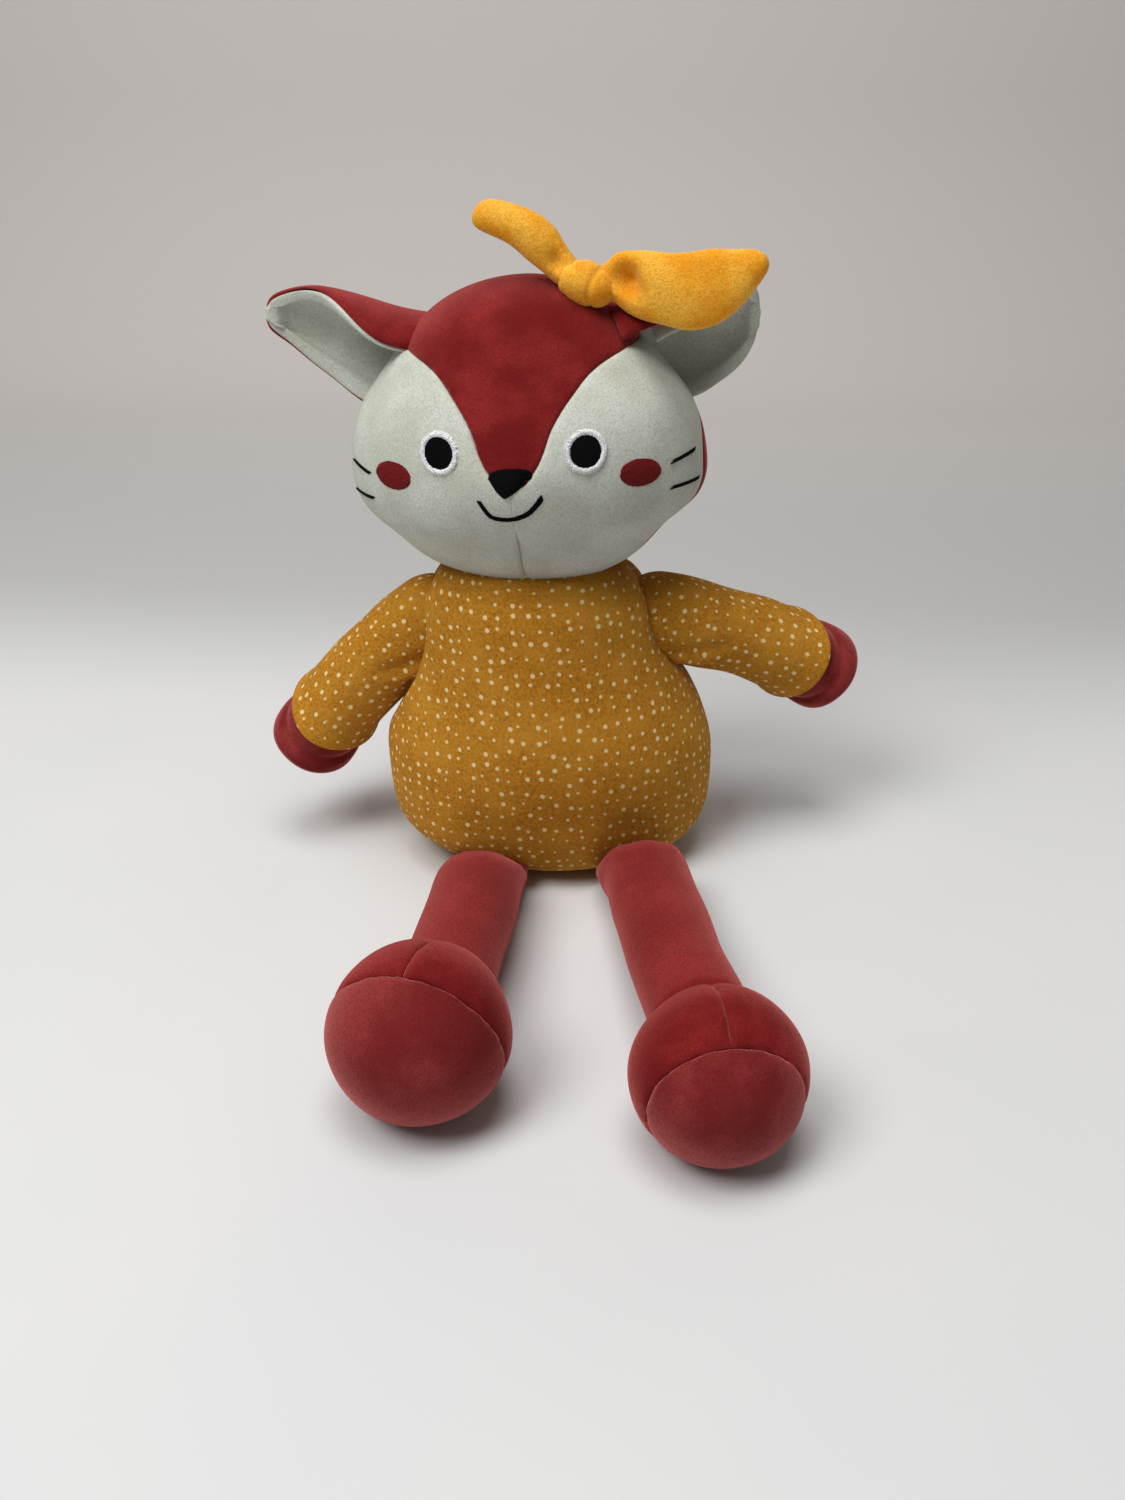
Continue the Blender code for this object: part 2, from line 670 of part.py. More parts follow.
def make_neck():
    bm = bmesh.new()
    bmesh.ops.create_uvsphere(
        bm, u_segments=HOLE_SIDE_COUNT, v_segments=HOLE_SIDE_COUNT // 2, radius=NECK_BALL)
    add_object("neck", bm, "yellow", neck_pivot)


# Head: a forehead, two face panels, a back and the filling

def forehead_outline():
    half = [(x * HEAD_WIDTH / 2, z * CROWN_HEIGHT) for x, z in FOREHEAD_SHARES]
    return half + [(-x, z) for x, z in reversed(half)]


def forehead_cutter(name, grow):
    """The forehead's outline, pushed back through the front of the head."""
    bm = bmesh.new()
    front = -HEAD_DEPTH_FRONT - MUZZLE_SWELL - OVERRUN
    verts = [bm.verts.new((x, front, HEAD_RISE + z)) for x, z in forehead_outline()]
    face = bm.faces.new(verts)
    made = bmesh.ops.extrude_face_region(bm, geom=[face])
    moved = [item for item in made["geom"] if isinstance(item, bmesh.types.BMVert)]
    bmesh.ops.translate(bm, vec=(0, -front, 0), verts=moved)
    face_outwards(bm)
    bm.normal_update()
    moves = [(vert, Vector((vert.normal.x, 0, vert.normal.z)).normalized() * grow) for vert in bm.verts]
    for vert, move in moves:
        vert.co += move
    return add_object(name, bm, "cutter", head_pivot)


def make_head():
    seam = Vector((0, -FACE_SEAM, 0))
    head_hole = ball_cutter("head_hole", NECK_BALL + ROOT_GAP, head_pivot)
    inside = forehead_cutter("forehead_shape", 0.0)
    outside = forehead_cutter("forehead_opening", SEAM)

    back = trim(cover(head_form), seam + Vector((0, SEAM / 2, 0)), (0, -1, 0))
    pieces = [add_object("head_back", back, "red", head_pivot)]
    forehead = trim(cover(head_form), seam - Vector((0, SEAM / 2, 0)), (0, 1, 0))
    made = add_object("forehead", forehead, "red", head_pivot)
    cut(made, inside, "INTERSECT")
    for side, name in SIDE_NAMES.items():
        face = trim(cover(head_form), seam - Vector((0, SEAM / 2, 0)), (0, 1, 0))
        trim(face, Vector((side * SEAM / 2, 0, 0)), (-side, 0, 0))
        made = add_object(f"face_{name}", face, "white", head_pivot)
        cut(made, outside)
        pieces.append(made)
    pieces.append(add_object("head_filling", filling(head_form), "filling", head_pivot))
    for piece in pieces:
        cut(piece, head_hole)


# Face trims: thin patches that lie on the face

def on_face(x, rise, off):
    """A point of the face, raised off it along the way the face looks there."""
    step = MM
    here = Vector((x, face_depth(x, rise), rise))
    right = Vector((x + step, face_depth(x + step, rise), rise)) - here
    up = Vector((x, face_depth(x, rise + step), rise + step)) - here
    outward = right.cross(up).normalized()
    place = here + outward * off
    return Vector((place.x, place.y, place.z + HEAD_RISE))


def patch(name, colour, loops, closed_middle):
    """A patch of rings of (x, rise) points; the last ring closes on its middle if asked."""
    bm = bmesh.new()
    layers = []
    for off in (PATCH_GAP + PATCH_THICKNESS, PATCH_GAP):
        layers.append([[bm.verts.new(on_face(x, z, off)) for x, z in loop] for loop in loops])
    count = len(loops[0])
    top, under = layers
    for turn in range(count):
        step = (turn + 1) % count
        for a, b in zip(range(len(loops)), range(1, len(loops))):
            bm.faces.new((top[a][turn], top[a][step], top[b][step], top[b][turn]))
            bm.faces.new((under[a][turn], under[b][turn], under[b][step], under[a][step]))
        bm.faces.new((top[0][turn], under[0][turn], under[0][step], top[0][step]))
        if not closed_middle:
            bm.faces.new((top[-1][turn], top[-1][step], under[-1][step], under[-1][turn]))
    if closed_middle:
        bm.faces.new(top[-1])
        bm.faces.new(list(reversed(under[-1])))
    face_outwards(bm)
    return add_object(name, bm, colour, head_pivot)


def oval(x, rise, wide, tall, slope):
    made = []
    for number in range(PATCH_SIDE_COUNT):
        turn = 2 * math.pi * number / PATCH_SIDE_COUNT
        a, b = wide * math.cos(turn), tall * math.sin(turn)
        made.append((x + a * math.cos(slope) - b * math.sin(slope),
                     rise + a * math.sin(slope) + b * math.cos(slope)))
    return made


def nose_outline(share):
    """A triangle with soft corners, standing on its tip."""
    made = []
    for number in range(PATCH_SIDE_COUNT):
        turn = 2 * math.pi * number / PATCH_SIDE_COUNT
        reach = 1 - NOSE_CORNER_SHARE * max(0.0, math.sin(3 * turn)) ** 2
        tall = NOSE_TOP if math.sin(turn) > 0 else NOSE_DROP + NOSE_TOP / 3
        pinch = 1 - NOSE_PINCH_SHARE * max(0.0, -math.sin(turn))
        made.append((NOSE_WIDTH / 2 * share * reach * math.cos(turn) * pinch,
                     NOSE_TOP / 3 + tall * share * reach * math.sin(turn) * 2 / 3))
    return made


def make_face_trims():
    for side, name in SIDE_NAMES.items():
        x = side * EYE_APART / 2
        ring = [oval(x, EYE_RISE, r, r, 0) for r in (EYE_RING_RADIUS, EYE_RADIUS + SEAM)]
        patch(f"eye_ring_{name}", "thread", ring, False)
        pupil = [oval(x, EYE_RISE, EYE_RADIUS * s, EYE_RADIUS * s, 0)
                 for s in (1, PATCH_MIDDLE_SHARE)]
        patch(f"pupil_{name}", "black", pupil, True)
        slope = side * CHEEK_SLOPE
        cheek = [oval(side * CHEEK_APART / 2, CHEEK_RISE, CHEEK_WIDTH / 2 * s,
                      CHEEK_HEIGHT / 2 * s, slope) for s in (1, PATCH_MIDDLE_SHARE)]
        patch(f"cheek_{name}", "red", cheek, True)
    patch("nose", "black", [nose_outline(1), nose_outline(PATCH_MIDDLE_SHARE)], True)


def stitch(name, points):
    """A line of thread that lies on the face."""
    curve = bpy.data.curves.new(name, "CURVE")
    curve.dimensions = "3D"
    curve.bevel_depth = STITCH_RADIUS
    curve.bevel_resolution = STITCH_FACET_COUNT
    curve.use_fill_caps = True
    line = curve.splines.new("POLY")
    line.points.add(len(points) - 1)
    for point, (x, rise) in zip(line.points, points):
        point.co = (*on_face(x, rise, STITCH_RADIUS + 2 * PATCH_GAP), 1)
    made = bpy.data.objects.new(name, curve)
    bpy.context.collection.objects.link(made)
    curve.materials.append(named_material(name, "black"))
    made.parent = head_pivot


def make_stitches():
    mouth = []
    for number in range(STITCH_POINTS):
        across = between(-1.0, 1.0, number / (STITCH_POINTS - 1))
        mouth.append((across * MOUTH_WIDTH / 2, MOUTH_RISE - MOUTH_DROP * (1 - across ** 2)))
    stitch("mouth", mouth)
    for side, name in SIDE_NAMES.items():
        for row, (inner, outer) in zip(("upper", "lower"), WHISKER_RISES):
            points = [
                (side * between(WHISKER_INNER, WHISKER_OUTER, share), between(inner, outer, share))
                for share in (0, 1 / 3, 2 / 3, 1)]
            stitch(f"whisker_{row}_{name}", points)


# Ears: a lining and a back, sewn along a hinge line on the head's side seam

def ear_frame(side):
    along = Vector((side * math.cos(EAR_LIFT), 0, math.sin(EAR_LIFT)))
    across = Vector((-side * math.sin(EAR_LIFT), 0, math.cos(EAR_LIFT)))
    return along, across


def ear_pivot_place(side):
    return Vector((side * HEAD_WIDTH / 2 * EAR_REACH_SHARE, EAR_SETBACK - FACE_SEAM,
                   HEAD_RISE + CROWN_HEIGHT * EAR_RISE_SHARE))


ear_pivots = {}
for side, name in SIDE_NAMES.items():
    ear_pivots[side] = add_pivot(f"ear_{name}_pivot", ear_pivot_place(side), parent=head_pivot)


def ear_layer(side, offset):
    """One cloth of the ear, so far in front of the ear's middle."""
    along, across = ear_frame(side)
    bm = bmesh.new()
    bmesh.ops.create_grid(bm, x_segments=EAR_ROW_COUNT, y_segments=EAR_COLUMN_COUNT, size=0.5)
    for vert in bm.verts:
        down = math.sin(math.pi / 2 * (vert.co.x + 0.5))
        half = EAR_ROOT_WIDTH / 2 * smooth(EAR_SHARES, down)
        reach = EAR_LENGTH * between(-EAR_INSIDE_SHARE, 1.0, down)
        radius = EAR_CUP_RADIUS * between(1.0, EAR_TIP_CUP_SHARE, down)
        lean = EAR_CUP_TURN * (1 - down ** 2)
        turn = lean + 2 * vert.co.y * half / radius
        up = radius * (math.sin(turn) - math.sin(lean))
        back = radius * math.cos(turn) - EAR_CUP_RADIUS * EAR_MIDDLE_SHARE - EAR_FORWARD * down
        vert.co = along * reach + across * up + Vector((0, back, 0))
    swept = Matrix.Rotation(side * EAR_SWEEP[side], 3, across)
    bmesh.ops.rotate(bm, matrix=swept, verts=bm.verts)
    if side == LEFT:
        bmesh.ops.reverse_faces(bm, faces=bm.faces)
    bm.normal_update()
    moves = [(vert, vert.normal * offset) for vert in bm.verts]
    for vert, move in moves:
        vert.co += move
    bmesh.ops.solidify(bm, geom=bm.faces[:], thickness=EAR_CLOTH)
    face_outwards(bm)
    return bm


def make_ears():
    for side, name in SIDE_NAMES.items():
        along, across = ear_frame(side)
        pieces = [
            add_object(f"ear_lining_{name}", ear_layer(side, EAR_CLOTH + EAR_CLOTH_GAP / 2), "white",
                       ear_pivots[side]),
            add_object(f"ear_back_{name}", ear_layer(side, -EAR_CLOTH_GAP / 2), "red", ear_pivots[side])]
        middle = ear_pivot_place(side)
        for number, bent in enumerate((-EAR_FLEX, -EAR_FLEX / 2, 0.0, EAR_FLEX / 2, EAR_FLEX)):
            turn = Matrix.Rotation(bent, 4, across)
            at = bent_pivot(f"ear_hole_{name}_{number}_pivot", middle, turn, head_pivot)
            hole = add_object(
                f"ear_hole_{name}_{number}", head_form(grow=EAR_ROOT_GAP), "cutter", at)
            for piece in pieces:
                cut(piece, hole, solver="MANIFOLD")


# Bow

def bow_end(side):
    """A padded strip that leaves the knot, swells and ends square-round."""
    tip, wide, deep = TAIL_TIP[side], TAIL_WIDTH[side], TAIL_DEPTH[side]
    along = tip.normalized()
    across = Vector((0, side, 0)).cross(along).normalized() * -1
    out = along.cross(across)

    def place(down, angle):
        share = (1 - math.cos(math.pi * down)) / 2
        width = wide * smooth([(at, w) for at, w, up in TAIL_SHARES[side]], share)
        arch = wide * smooth([(at, up) for at, w, up in TAIL_SHARES[side]], share)
        close = math.sqrt(1 - abs(2 * share - 1) ** 7)
        return (tip * share + across * (arch + width / 2 * close * math.cos(angle))
                + out * deep / 2 * close * math.sin(angle))
    return shaped_ball(TAIL_SIDE_COUNT, TAIL_RING_COUNT, place)


def knot_place():
    """The knot's middle, above the crown; a few tries settle the crown's level there."""
    x, y = KNOT_PLACE
    level = 1.0
    for _ in range(LEVEL_TRY_COUNT):
        share = smooth(HEAD_SHARES, level)
        left_over = 1 - (x / (HEAD_WIDTH / 2 * share)) ** 2 - (y / (HEAD_DEPTH_FRONT * share)) ** 2
        level = math.sqrt(max(0.0, left_over))
    return Vector((x, y, HEAD_RISE + CROWN_HEIGHT * level + KNOT_RISE))


def knot_form(grow=0.0):
    def place(down, angle):
        level, ring = math.cos(math.pi * down), math.sin(math.pi * down)
        return Vector((KNOT_WIDTH / 2 * ring * math.cos(angle),
                       KNOT_DEPTH / 2 * ring * math.sin(angle), KNOT_HEIGHT / 2 * level))
    return shaped_ball(KNOT_SIDE_COUNT, KNOT_RING_COUNT, place, grow)


def make_bow():
    knot_pivot = add_pivot("knot_pivot", knot_place(), parent=head_pivot)
    knot = add_object("bow_knot", knot_form(), "bow", knot_pivot)
    crown = add_object("crown_under_bow", head_form(grow=BOW_GAP), "cutter", head_pivot)
    cut(knot, crown)
    for side, name in SIDE_NAMES.items():
        wide_share, tall_share = TAIL_ROOT_SHARES[side]
        root = knot_place() + Vector((KNOT_WIDTH * wide_share, 0, KNOT_HEIGHT * tall_share))
        at = add_pivot(f"bow_{name}_pivot", root, parent=head_pivot)
        end = add_object(f"bow_end_{name}", bow_end(side), "bow", at)
        for number, bent in enumerate(TAIL_FLEX[side]):
            turn = Matrix.Rotation(side * math.radians(bent), 4, "Y")
            about = bent_pivot(f"bow_{name}_{number}_pivot", root, turn, head_pivot)
            crown = add_object(
                f"room_for_crown_{name}_{number}", head_form(grow=BOW_GAP), "cutter", about)
            about = add_pivot(f"knot_{name}_{number}_pivot", knot_place(), parent=about)
            round_knot = add_object(
                f"room_for_knot_{name}_{number}", knot_form(grow=BOW_GAP), "cutter", about)
            cut(end, round_knot)
            cut(end, crown)


make_torso()
make_neck()
make_head()
make_face_trims()
make_stitches()
make_ears()
make_bow()
for side in SIDE_NAMES:
    make_arm(side)
    make_leg(side)
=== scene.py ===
"""The looks of a seated plush fox in a dotted jumper: covers, seams, embroidery, bow and light.

Metres, +Z up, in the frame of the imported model. Left and right are the viewer's.
"""
import heapq
import json
import random
from math import asin, atan2, copysign, cos, degrees, exp, hypot, pi, radians, sin, sqrt

import bmesh
import bpy
from mathutils import Matrix, Vector, noise
from mathutils.bvhtree import BVHTree


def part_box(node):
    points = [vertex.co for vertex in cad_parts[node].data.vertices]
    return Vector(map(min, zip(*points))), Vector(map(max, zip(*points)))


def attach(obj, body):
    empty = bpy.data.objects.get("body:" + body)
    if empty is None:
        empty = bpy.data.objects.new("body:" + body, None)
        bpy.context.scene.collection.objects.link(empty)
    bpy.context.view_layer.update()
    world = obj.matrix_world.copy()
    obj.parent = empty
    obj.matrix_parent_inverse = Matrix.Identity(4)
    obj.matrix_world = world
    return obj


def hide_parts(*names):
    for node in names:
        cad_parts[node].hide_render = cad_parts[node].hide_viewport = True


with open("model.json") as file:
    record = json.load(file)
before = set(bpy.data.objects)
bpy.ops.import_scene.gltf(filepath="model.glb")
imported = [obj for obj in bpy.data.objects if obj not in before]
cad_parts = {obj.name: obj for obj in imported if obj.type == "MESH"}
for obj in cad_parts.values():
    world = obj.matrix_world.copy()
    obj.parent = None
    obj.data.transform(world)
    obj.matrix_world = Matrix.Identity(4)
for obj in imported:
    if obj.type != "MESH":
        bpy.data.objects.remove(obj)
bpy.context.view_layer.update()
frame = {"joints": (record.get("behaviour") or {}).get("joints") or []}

MM = 0.001
LEFT, RIGHT = -1, 1
SIDE_NAMES = {LEFT: "left", RIGHT: "right"}
JOINTS = {joint["name"]: joint for joint in frame["joints"]}

# Torso
TORSO_WIDTH = 128 * MM
TORSO_DEPTH = 95 * MM
TORSO_HEIGHT = 126 * MM
TORSO_LEAN = 8 * MM
SIDE_SEAM_SETBACK = 4 * MM
SEAT_ROUNDING = 30 * MM
SHOULDER_ROUNDING = 22 * MM
# Share of the height, share of the width, share of the depth
TORSO_SHARES = (
    (0.00, 0.97, 0.97), (0.16, 0.99, 0.99), (0.29, 1.00, 1.00), (0.39, 0.99, 0.99),
    (0.49, 0.93, 0.95), (0.63, 0.815, 0.87), (0.75, 0.75, 0.81), (0.85, 0.71, 0.77),
    (1.00, 0.62, 0.72),
)
NECK_BALL = TORSO_WIDTH * 0.19

# Head
HEAD_WIDTH = 127 * MM
HEAD_DEPTH_FRONT = 47 * MM
HEAD_DEPTH_BACK = 45 * MM
HEAD_RISE = 35 * MM
CROWN_HEIGHT = 60.5 * MM
JAW_HEIGHT = 44.5 * MM
HEAD_TURN = radians(-5)
HEAD_TILT = radians(-2)
FACE_SEAM = 8 * MM
TOP_SEAM_SETBACK = 15 * MM
MUZZLE_SWELL = 3 * MM
MUZZLE_WIDTH = 17 * MM
MUZZLE_HEIGHT = 13 * MM
# Level from the chin at -1 to the crown at 1, and the share of a ball's width and depth there
HEAD_SHARES = (
    (-1.0, 0.99), (-0.8, 0.965), (-0.55, 0.925), (-0.3, 0.995), (0.0, 1.0), (0.3, 0.975),
    (0.6, 0.875), (1.0, 0.85),
)
# Half the forehead panel: share of the crown's height, share of half the head's width
FOREHEAD_SHARES = (
    (0.035, 0.082), (0.11, 0.130), (0.18, 0.165), (0.31, 0.213), (0.45, 0.306),
    (0.58, 0.433), (0.67, 0.63), (0.80, 0.95), (1.30, 1.30),
)

# Face, about the middle of the face's widest level
EYE_APART = HEAD_WIDTH * 0.374
EYE_RISE = 11 * MM
PUPIL_RADIUS = 5.3 * MM
EYE_RING_RADIUS = 6.8 * MM
NOSE_WIDTH = 14 * MM
NOSE_TOP = 6.9 * MM
NOSE_DROP = 2.3 * MM
NOSE_WIDEST = 3.9 * MM
NOSE_LEAN = 2.6 * MM
CHEEK_APART = HEAD_WIDTH * 0.646
CHEEK_RISE = 2.4 * MM
CHEEK_WIDTH = 13.2 * MM
CHEEK_HEIGHT = 9 * MM
CHEEK_SLOPE = {LEFT: radians(-5), RIGHT: radians(-7)}
THREAD = 0.18 * MM
SATIN_SPACING = 0.27 * MM
NOSE_PLACE = (0.5 * MM, 0.5 * MM)
MOUTH_POINTS = tuple(Vector(p) * MM for p in (
    (-10.8, -3.2), (-8.3, -7.4), (-6.5, -9.0), (-2.7, -9.7), (1.2, -9.2), (4.8, -7.6),
    (7.3, -5.3), (10.0, -2.0)))
MOUTH_WIDTH = (1.25 * MM, 1.75 * MM)
WHISKER_WIDTH = 1.1 * MM
PUPIL_TURN = 0.5
EYE_RING_STITCHES = 150
WHISKERS = {
    "upper_left": ((-50.8, 1.5), (-59.2, 3.6)), "lower_left": ((-50.3, -7.0), (-60.0, -7.2)),
    "upper_right": ((51.2, 3.6), (58.8, 5.2)), "lower_right": ((51.2, -5.0), (60.2, -5.0)),
}

# Ears
EAR_LENGTH = 51 * MM
EAR_ROOT_WIDTH = 64 * MM
# How far the lining and the back reach into the head
EAR_INSIDE_SHARE = {LEFT: (0.38, 0.38), RIGHT: (0.14, 0.38)}
EAR_CUP_EASE = {LEFT: 2.0, RIGHT: 0.8}
EAR_BACK_SHARE = {LEFT: 0.985, RIGHT: 0.975}
EAR_LIFT = radians(8)
EAR_SWEEP = {LEFT: 0.0, RIGHT: radians(28)}
EAR_DROOP = {LEFT: 0.0, RIGHT: radians(10)}
EAR_CUP_RADIUS = 17 * MM
EAR_CUP_TURN = radians(42)
EAR_TIP_CUP_SHARE = 1.08
EAR_MIDDLE_SHARE = 0.45
EAR_FORWARD = 14 * MM
EAR_SHOWN = {LEFT: 1.0, RIGHT: 0.86}
EAR_SHARES = {
    LEFT: ((0.0, 1.0), (0.37, 1.05), (0.685, 0.59), (0.875, 0.30), (0.968, 0.155), (1.0, 0.06)),
    RIGHT: ((0.0, 1.0), (0.37, 1.05), (0.685, 0.72), (0.875, 0.45), (0.968, 0.24), (1.0, 0.09)),
}
EAR_CLOTH = 2.2 * MM
EAR_LAYER_GAP = 0.1 * MM
EAR_HOLLOW = 4 * MM
EAR_ROLL = 1.5 * MM

# Bow
KNOT_SIZE = Vector((19, 15, 14)) * MM
KNOT_SLANT = radians(18)
TAIL_TIP = {LEFT: Vector((-29.5, 2.0, 20.0)) * MM, RIGHT: Vector((48.5, -22.0, 7.5)) * MM}
TAIL_WIDTH = {LEFT: 13.5 * MM, RIGHT: 24 * MM}
TAIL_DEPTH = {LEFT: 9.5 * MM, RIGHT: 10 * MM}
TAIL_INSIDE_SHARE = 0.09
HOLLOW_SHARE = {LEFT: 0.3, RIGHT: 0.94}
TAIL_SHARES = {
    LEFT: ((0.0, 0.85, 0.0), (0.3, 0.98, 0.18), (0.6, 0.92, 0.25), (1.0, 0.80, 0.0)),
    RIGHT: ((0.0, 0.62, 0.02), (0.07, 0.80, 0.0), (0.2, 0.92, -0.08), (0.42, 1.0, -0.22),
            (0.62, 0.94, -0.24), (0.8, 0.72, -0.17), (0.94, 0.50, -0.06), (1.0, 0.44, -0.04)),
}

# Arms
ARM_DROOP = {LEFT: radians(38), RIGHT: radians(14)}
ARM_SWEEP = {LEFT: radians(8), RIGHT: radians(14)}
ARM_BEND = radians(16)
ARM_LENGTH = 69 * MM
ARM_ROOT = TORSO_WIDTH * 0.14
ARM_ROOT_DEPTH_SHARE = 0.86
ARM_RADIUS = 16.3 * MM
CUFF_RADIUS = 16.6 * MM
CUFF_PLACE_SHARE = 0.80
CUFF_TILT = 8 * MM
CUFF_OVERHANG = 5 * MM
HAND_RADIUS = 17.2 * MM
HAND_CAP = 16.5 * MM
# Degrees round the sleeve from straight below, height of the fold
ARMPIT_FOLDS = ((48, -1.7 * MM), (27, 1.6 * MM), (4, -2.0 * MM), (-18, 1.0 * MM))

# Legs
LEG_REACH = {LEFT: 111 * MM, RIGHT: 120 * MM}
LEG_SPLAY = {LEFT: radians(3), RIGHT: radians(7.5)}
LEG_BEND = {LEFT: radians(14), RIGHT: radians(-2)}
LEG_RADIUS = 16 * MM
ANKLE_RADIUS = 15 * MM
FOOT_RADIUS = 27 * MM
FOOT_SHOWN = {LEFT: 27 * MM, RIGHT: 25 * MM}
PRESSED_FLAT = 0.5 * MM
SOLE_PLACE_SHARE = {LEFT: 0.08, RIGHT: 0.42}
SOLE_TILT = {LEFT: radians(18), RIGHT: radians(12)}

# Each leg's top end is sewn flat: how far back it reaches, over what run, and its shares there
HIP_FLAT_START = {LEFT: -3 * MM, RIGHT: 10 * MM}
HIP_FLAT_RUN = {LEFT: 27 * MM, RIGHT: 24 * MM}
HIP_FLAT_SHARE = 0.2
HIP_WIDE_SHARE = 0.98
HIP_DROP = 7 * MM
GATHER_HEIGHT = 0.35 * MM

# The angles at which a form's skin starts: at the back of the torso and head, under a leg
BEHIND = -1.5 * pi
BELOW = -0.5 * pi

# Cloth and seams
FILLING_INSET = 4.5 * MM
CLOTH = 1.2 * MM
SEAM_REACH = 3.4 * MM
SEAM_DEPTH = 0.8 * MM
SEAM_ROW = 1.1 * MM
SEAM_PUCKER_SCALE = 260
SEAM_SNAP = 0.12 * MM
ON_SEAM = 0.01 * MM
# How deep the jumper is drawn in round an arm and round a leg, and how far from them
LIMB_SINK = (2.6 * MM, 0.5 * MM)
LIMB_SINK_REACH = 7 * MM
# The height of the uneven swells in each cover, and how closely they follow each other
SWELLS = {
    "torso": (1.6 * MM, 22), "head": (1.2 * MM, 30), "ear": (0.7 * MM, 60),
    "bow end": (1.1 * MM, 75), "knot": (0.5 * MM, 160), "sleeve": (0.9 * MM, 45),
    "hand": (0.8 * MM, 60), "leg": (1.4 * MM, 30), "foot": (1.3 * MM, 38),
}

# Printed dots, and how fine the pile of the plush is
DOT_SPACING = 5.0 * MM
DOT_RADIUS = 0.70 * MM
FIBRE_SCALE = 1500.0
TUFT_SCALE = 450.0

# Paper sweep and light
PAPER_REACH = 1.6
PAPER_FRONT = -1.2
PAPER_BACK = 0.85
PAPER_BEND = 0.30
PAPER_HEIGHT = 2.2
ROOM_LIGHT = (0.15, 0.143, 0.135, 1.0)

# Camera, as fitted to the photograph
CAMERA_PLACE = (0.003, -0.431, 0.259)
CAMERA_DOWN = radians(27)
CAMERA_LENS = 28.99


def between(low, high, share):
    return low + (high - low) * share


def smooth(points, place):
    """A value read from (place, value) pairs, with an easy curve through all of them."""
    if place <= points[0][0]:
        return points[0][1]
    if place >= points[-1][0]:
        return points[-1][1]
    slopes = [0.0] * len(points)
    for i in range(1, len(points) - 1):
        slopes[i] = (points[i + 1][1] - points[i - 1][1]) / (points[i + 1][0] - points[i - 1][0])
    for i, ((a, low), (b, high)) in enumerate(zip(points, points[1:])):
        if place <= b:
            t = (place - a) / (b - a)
            ease = t * t * (3 - 2 * t)
            rise = t * (1 - t) ** 2 * slopes[i] - t * t * (1 - t) * slopes[i + 1]
            return between(low, high, ease) + rise * (b - a)


def root(value):
    """The square root, 0 below 0."""
    return sqrt(max(0.0, value))


def bell(value, middle, width):
    """1 at the middle, falling to 0 on both sides."""
    return exp(-((value - middle) / width) ** 2)


def ramp(value, low, high):
    """0 below low, 1 above high, easy in between."""
    t = max(0.0, min(1.0, (value - low) / (high - low)))
    return t * t * (3 - 2 * t)


# Materials

def colour(red, green, blue):
    """A colour as it shows on a screen, in linear values."""
    def linear(value):
        value /= 255
        return value / 12.92 if value <= 0.04045 else ((value + 0.055) / 1.055) ** 2.4
    return (linear(red), linear(green), linear(blue), 1.0)


class Tree:
    """A small helper that adds nodes and joins them."""

    def __init__(self, tree):
        self.tree = tree

    def add(self, kind, inputs=None, **settings):
        node = self.tree.nodes.new(kind)
        for key, value in settings.items():
            setattr(node, key, value)
        for key, value in (inputs or {}).items():
            if isinstance(value, bpy.types.NodeSocket):
                self.tree.links.new(value, node.inputs[key])
            else:
                node.inputs[key].default_value = value
        return node

    def math(self, operation, first, second):
        return self.add("ShaderNodeMath", {0: first, 1: second}, operation=operation).outputs[0]

    def mix(self, share, first, second):
        node = self.add("ShaderNodeMix", {0: share, 6: first, 7: second}, data_type="RGBA")
        return node.outputs[2]

    def noise(self, place, scale, detail=2.0, rough=0.5):
        inputs = {"Vector": place, "Scale": scale, "Detail": detail, "Roughness": rough}
        return self.add("ShaderNodeTexNoise", inputs).outputs["Fac"]

    def range(self, value, low, high, to_low=0.0, to_high=1.0):
        inputs = {0: value, 1: low, 2: high, 3: to_low, 4: to_high}
        return self.add("ShaderNodeMapRange", inputs, interpolation_type="SMOOTHSTEP").outputs[0]

    def object_place(self):
        return self.add("ShaderNodeTexCoord").outputs["Object"]

    def bump(self, strength, distance, height):
        inputs = {"Strength": strength, "Distance": distance, "Height": height}
        return self.add("ShaderNodeBump", inputs).outputs[0]

    def dress(self, shader, base, normal=None, constants=()):
        """Join the colour and the relief to a shader, and set its constant values."""
        self.tree.links.new(base, shader.inputs["Base Color"])
        if normal is not None:
            self.tree.links.new(normal, shader.inputs["Normal"])
        for name, value in dict(constants).items():
            shader.inputs[name].default_value = value


def pile_group():
    """Short brushed pile: where it lies lighter or darker, and its fine relief."""
    group = bpy.data.node_groups.new("pile", "ShaderNodeTree")
    for name, way, kind in (
            ("Vector", "INPUT", "Vector"), ("Brush Scale", "INPUT", "Float"),
            ("Relief", "INPUT", "Float"), ("Brushed", "OUTPUT", "Float"),
            ("Fibre", "OUTPUT", "Float"), ("Normal", "OUTPUT", "Vector")):
        group.interface.new_socket(name, in_out=way, socket_type=f"NodeSocket{kind}")
    made = Tree(group)
    given = made.add("NodeGroupInput").outputs
    brushed = made.noise(given["Vector"], given["Brush Scale"], 3.0, 0.6)
    fibre = made.noise(given["Vector"], FIBRE_SCALE, 3.0, 0.7)
    tuft = made.noise(given["Vector"], TUFT_SCALE, 2.0, 0.6)
    height = made.math("ADD", fibre, made.math("MULTIPLY", tuft, 1.2))
    normal = made.bump(given["Relief"], 0.0006, height)
    made.add("NodeGroupOutput", {"Brushed": brushed, "Fibre": fibre, "Normal": normal})
    return group


PILE = pile_group()
# The material of each slot
FINISHES = {}


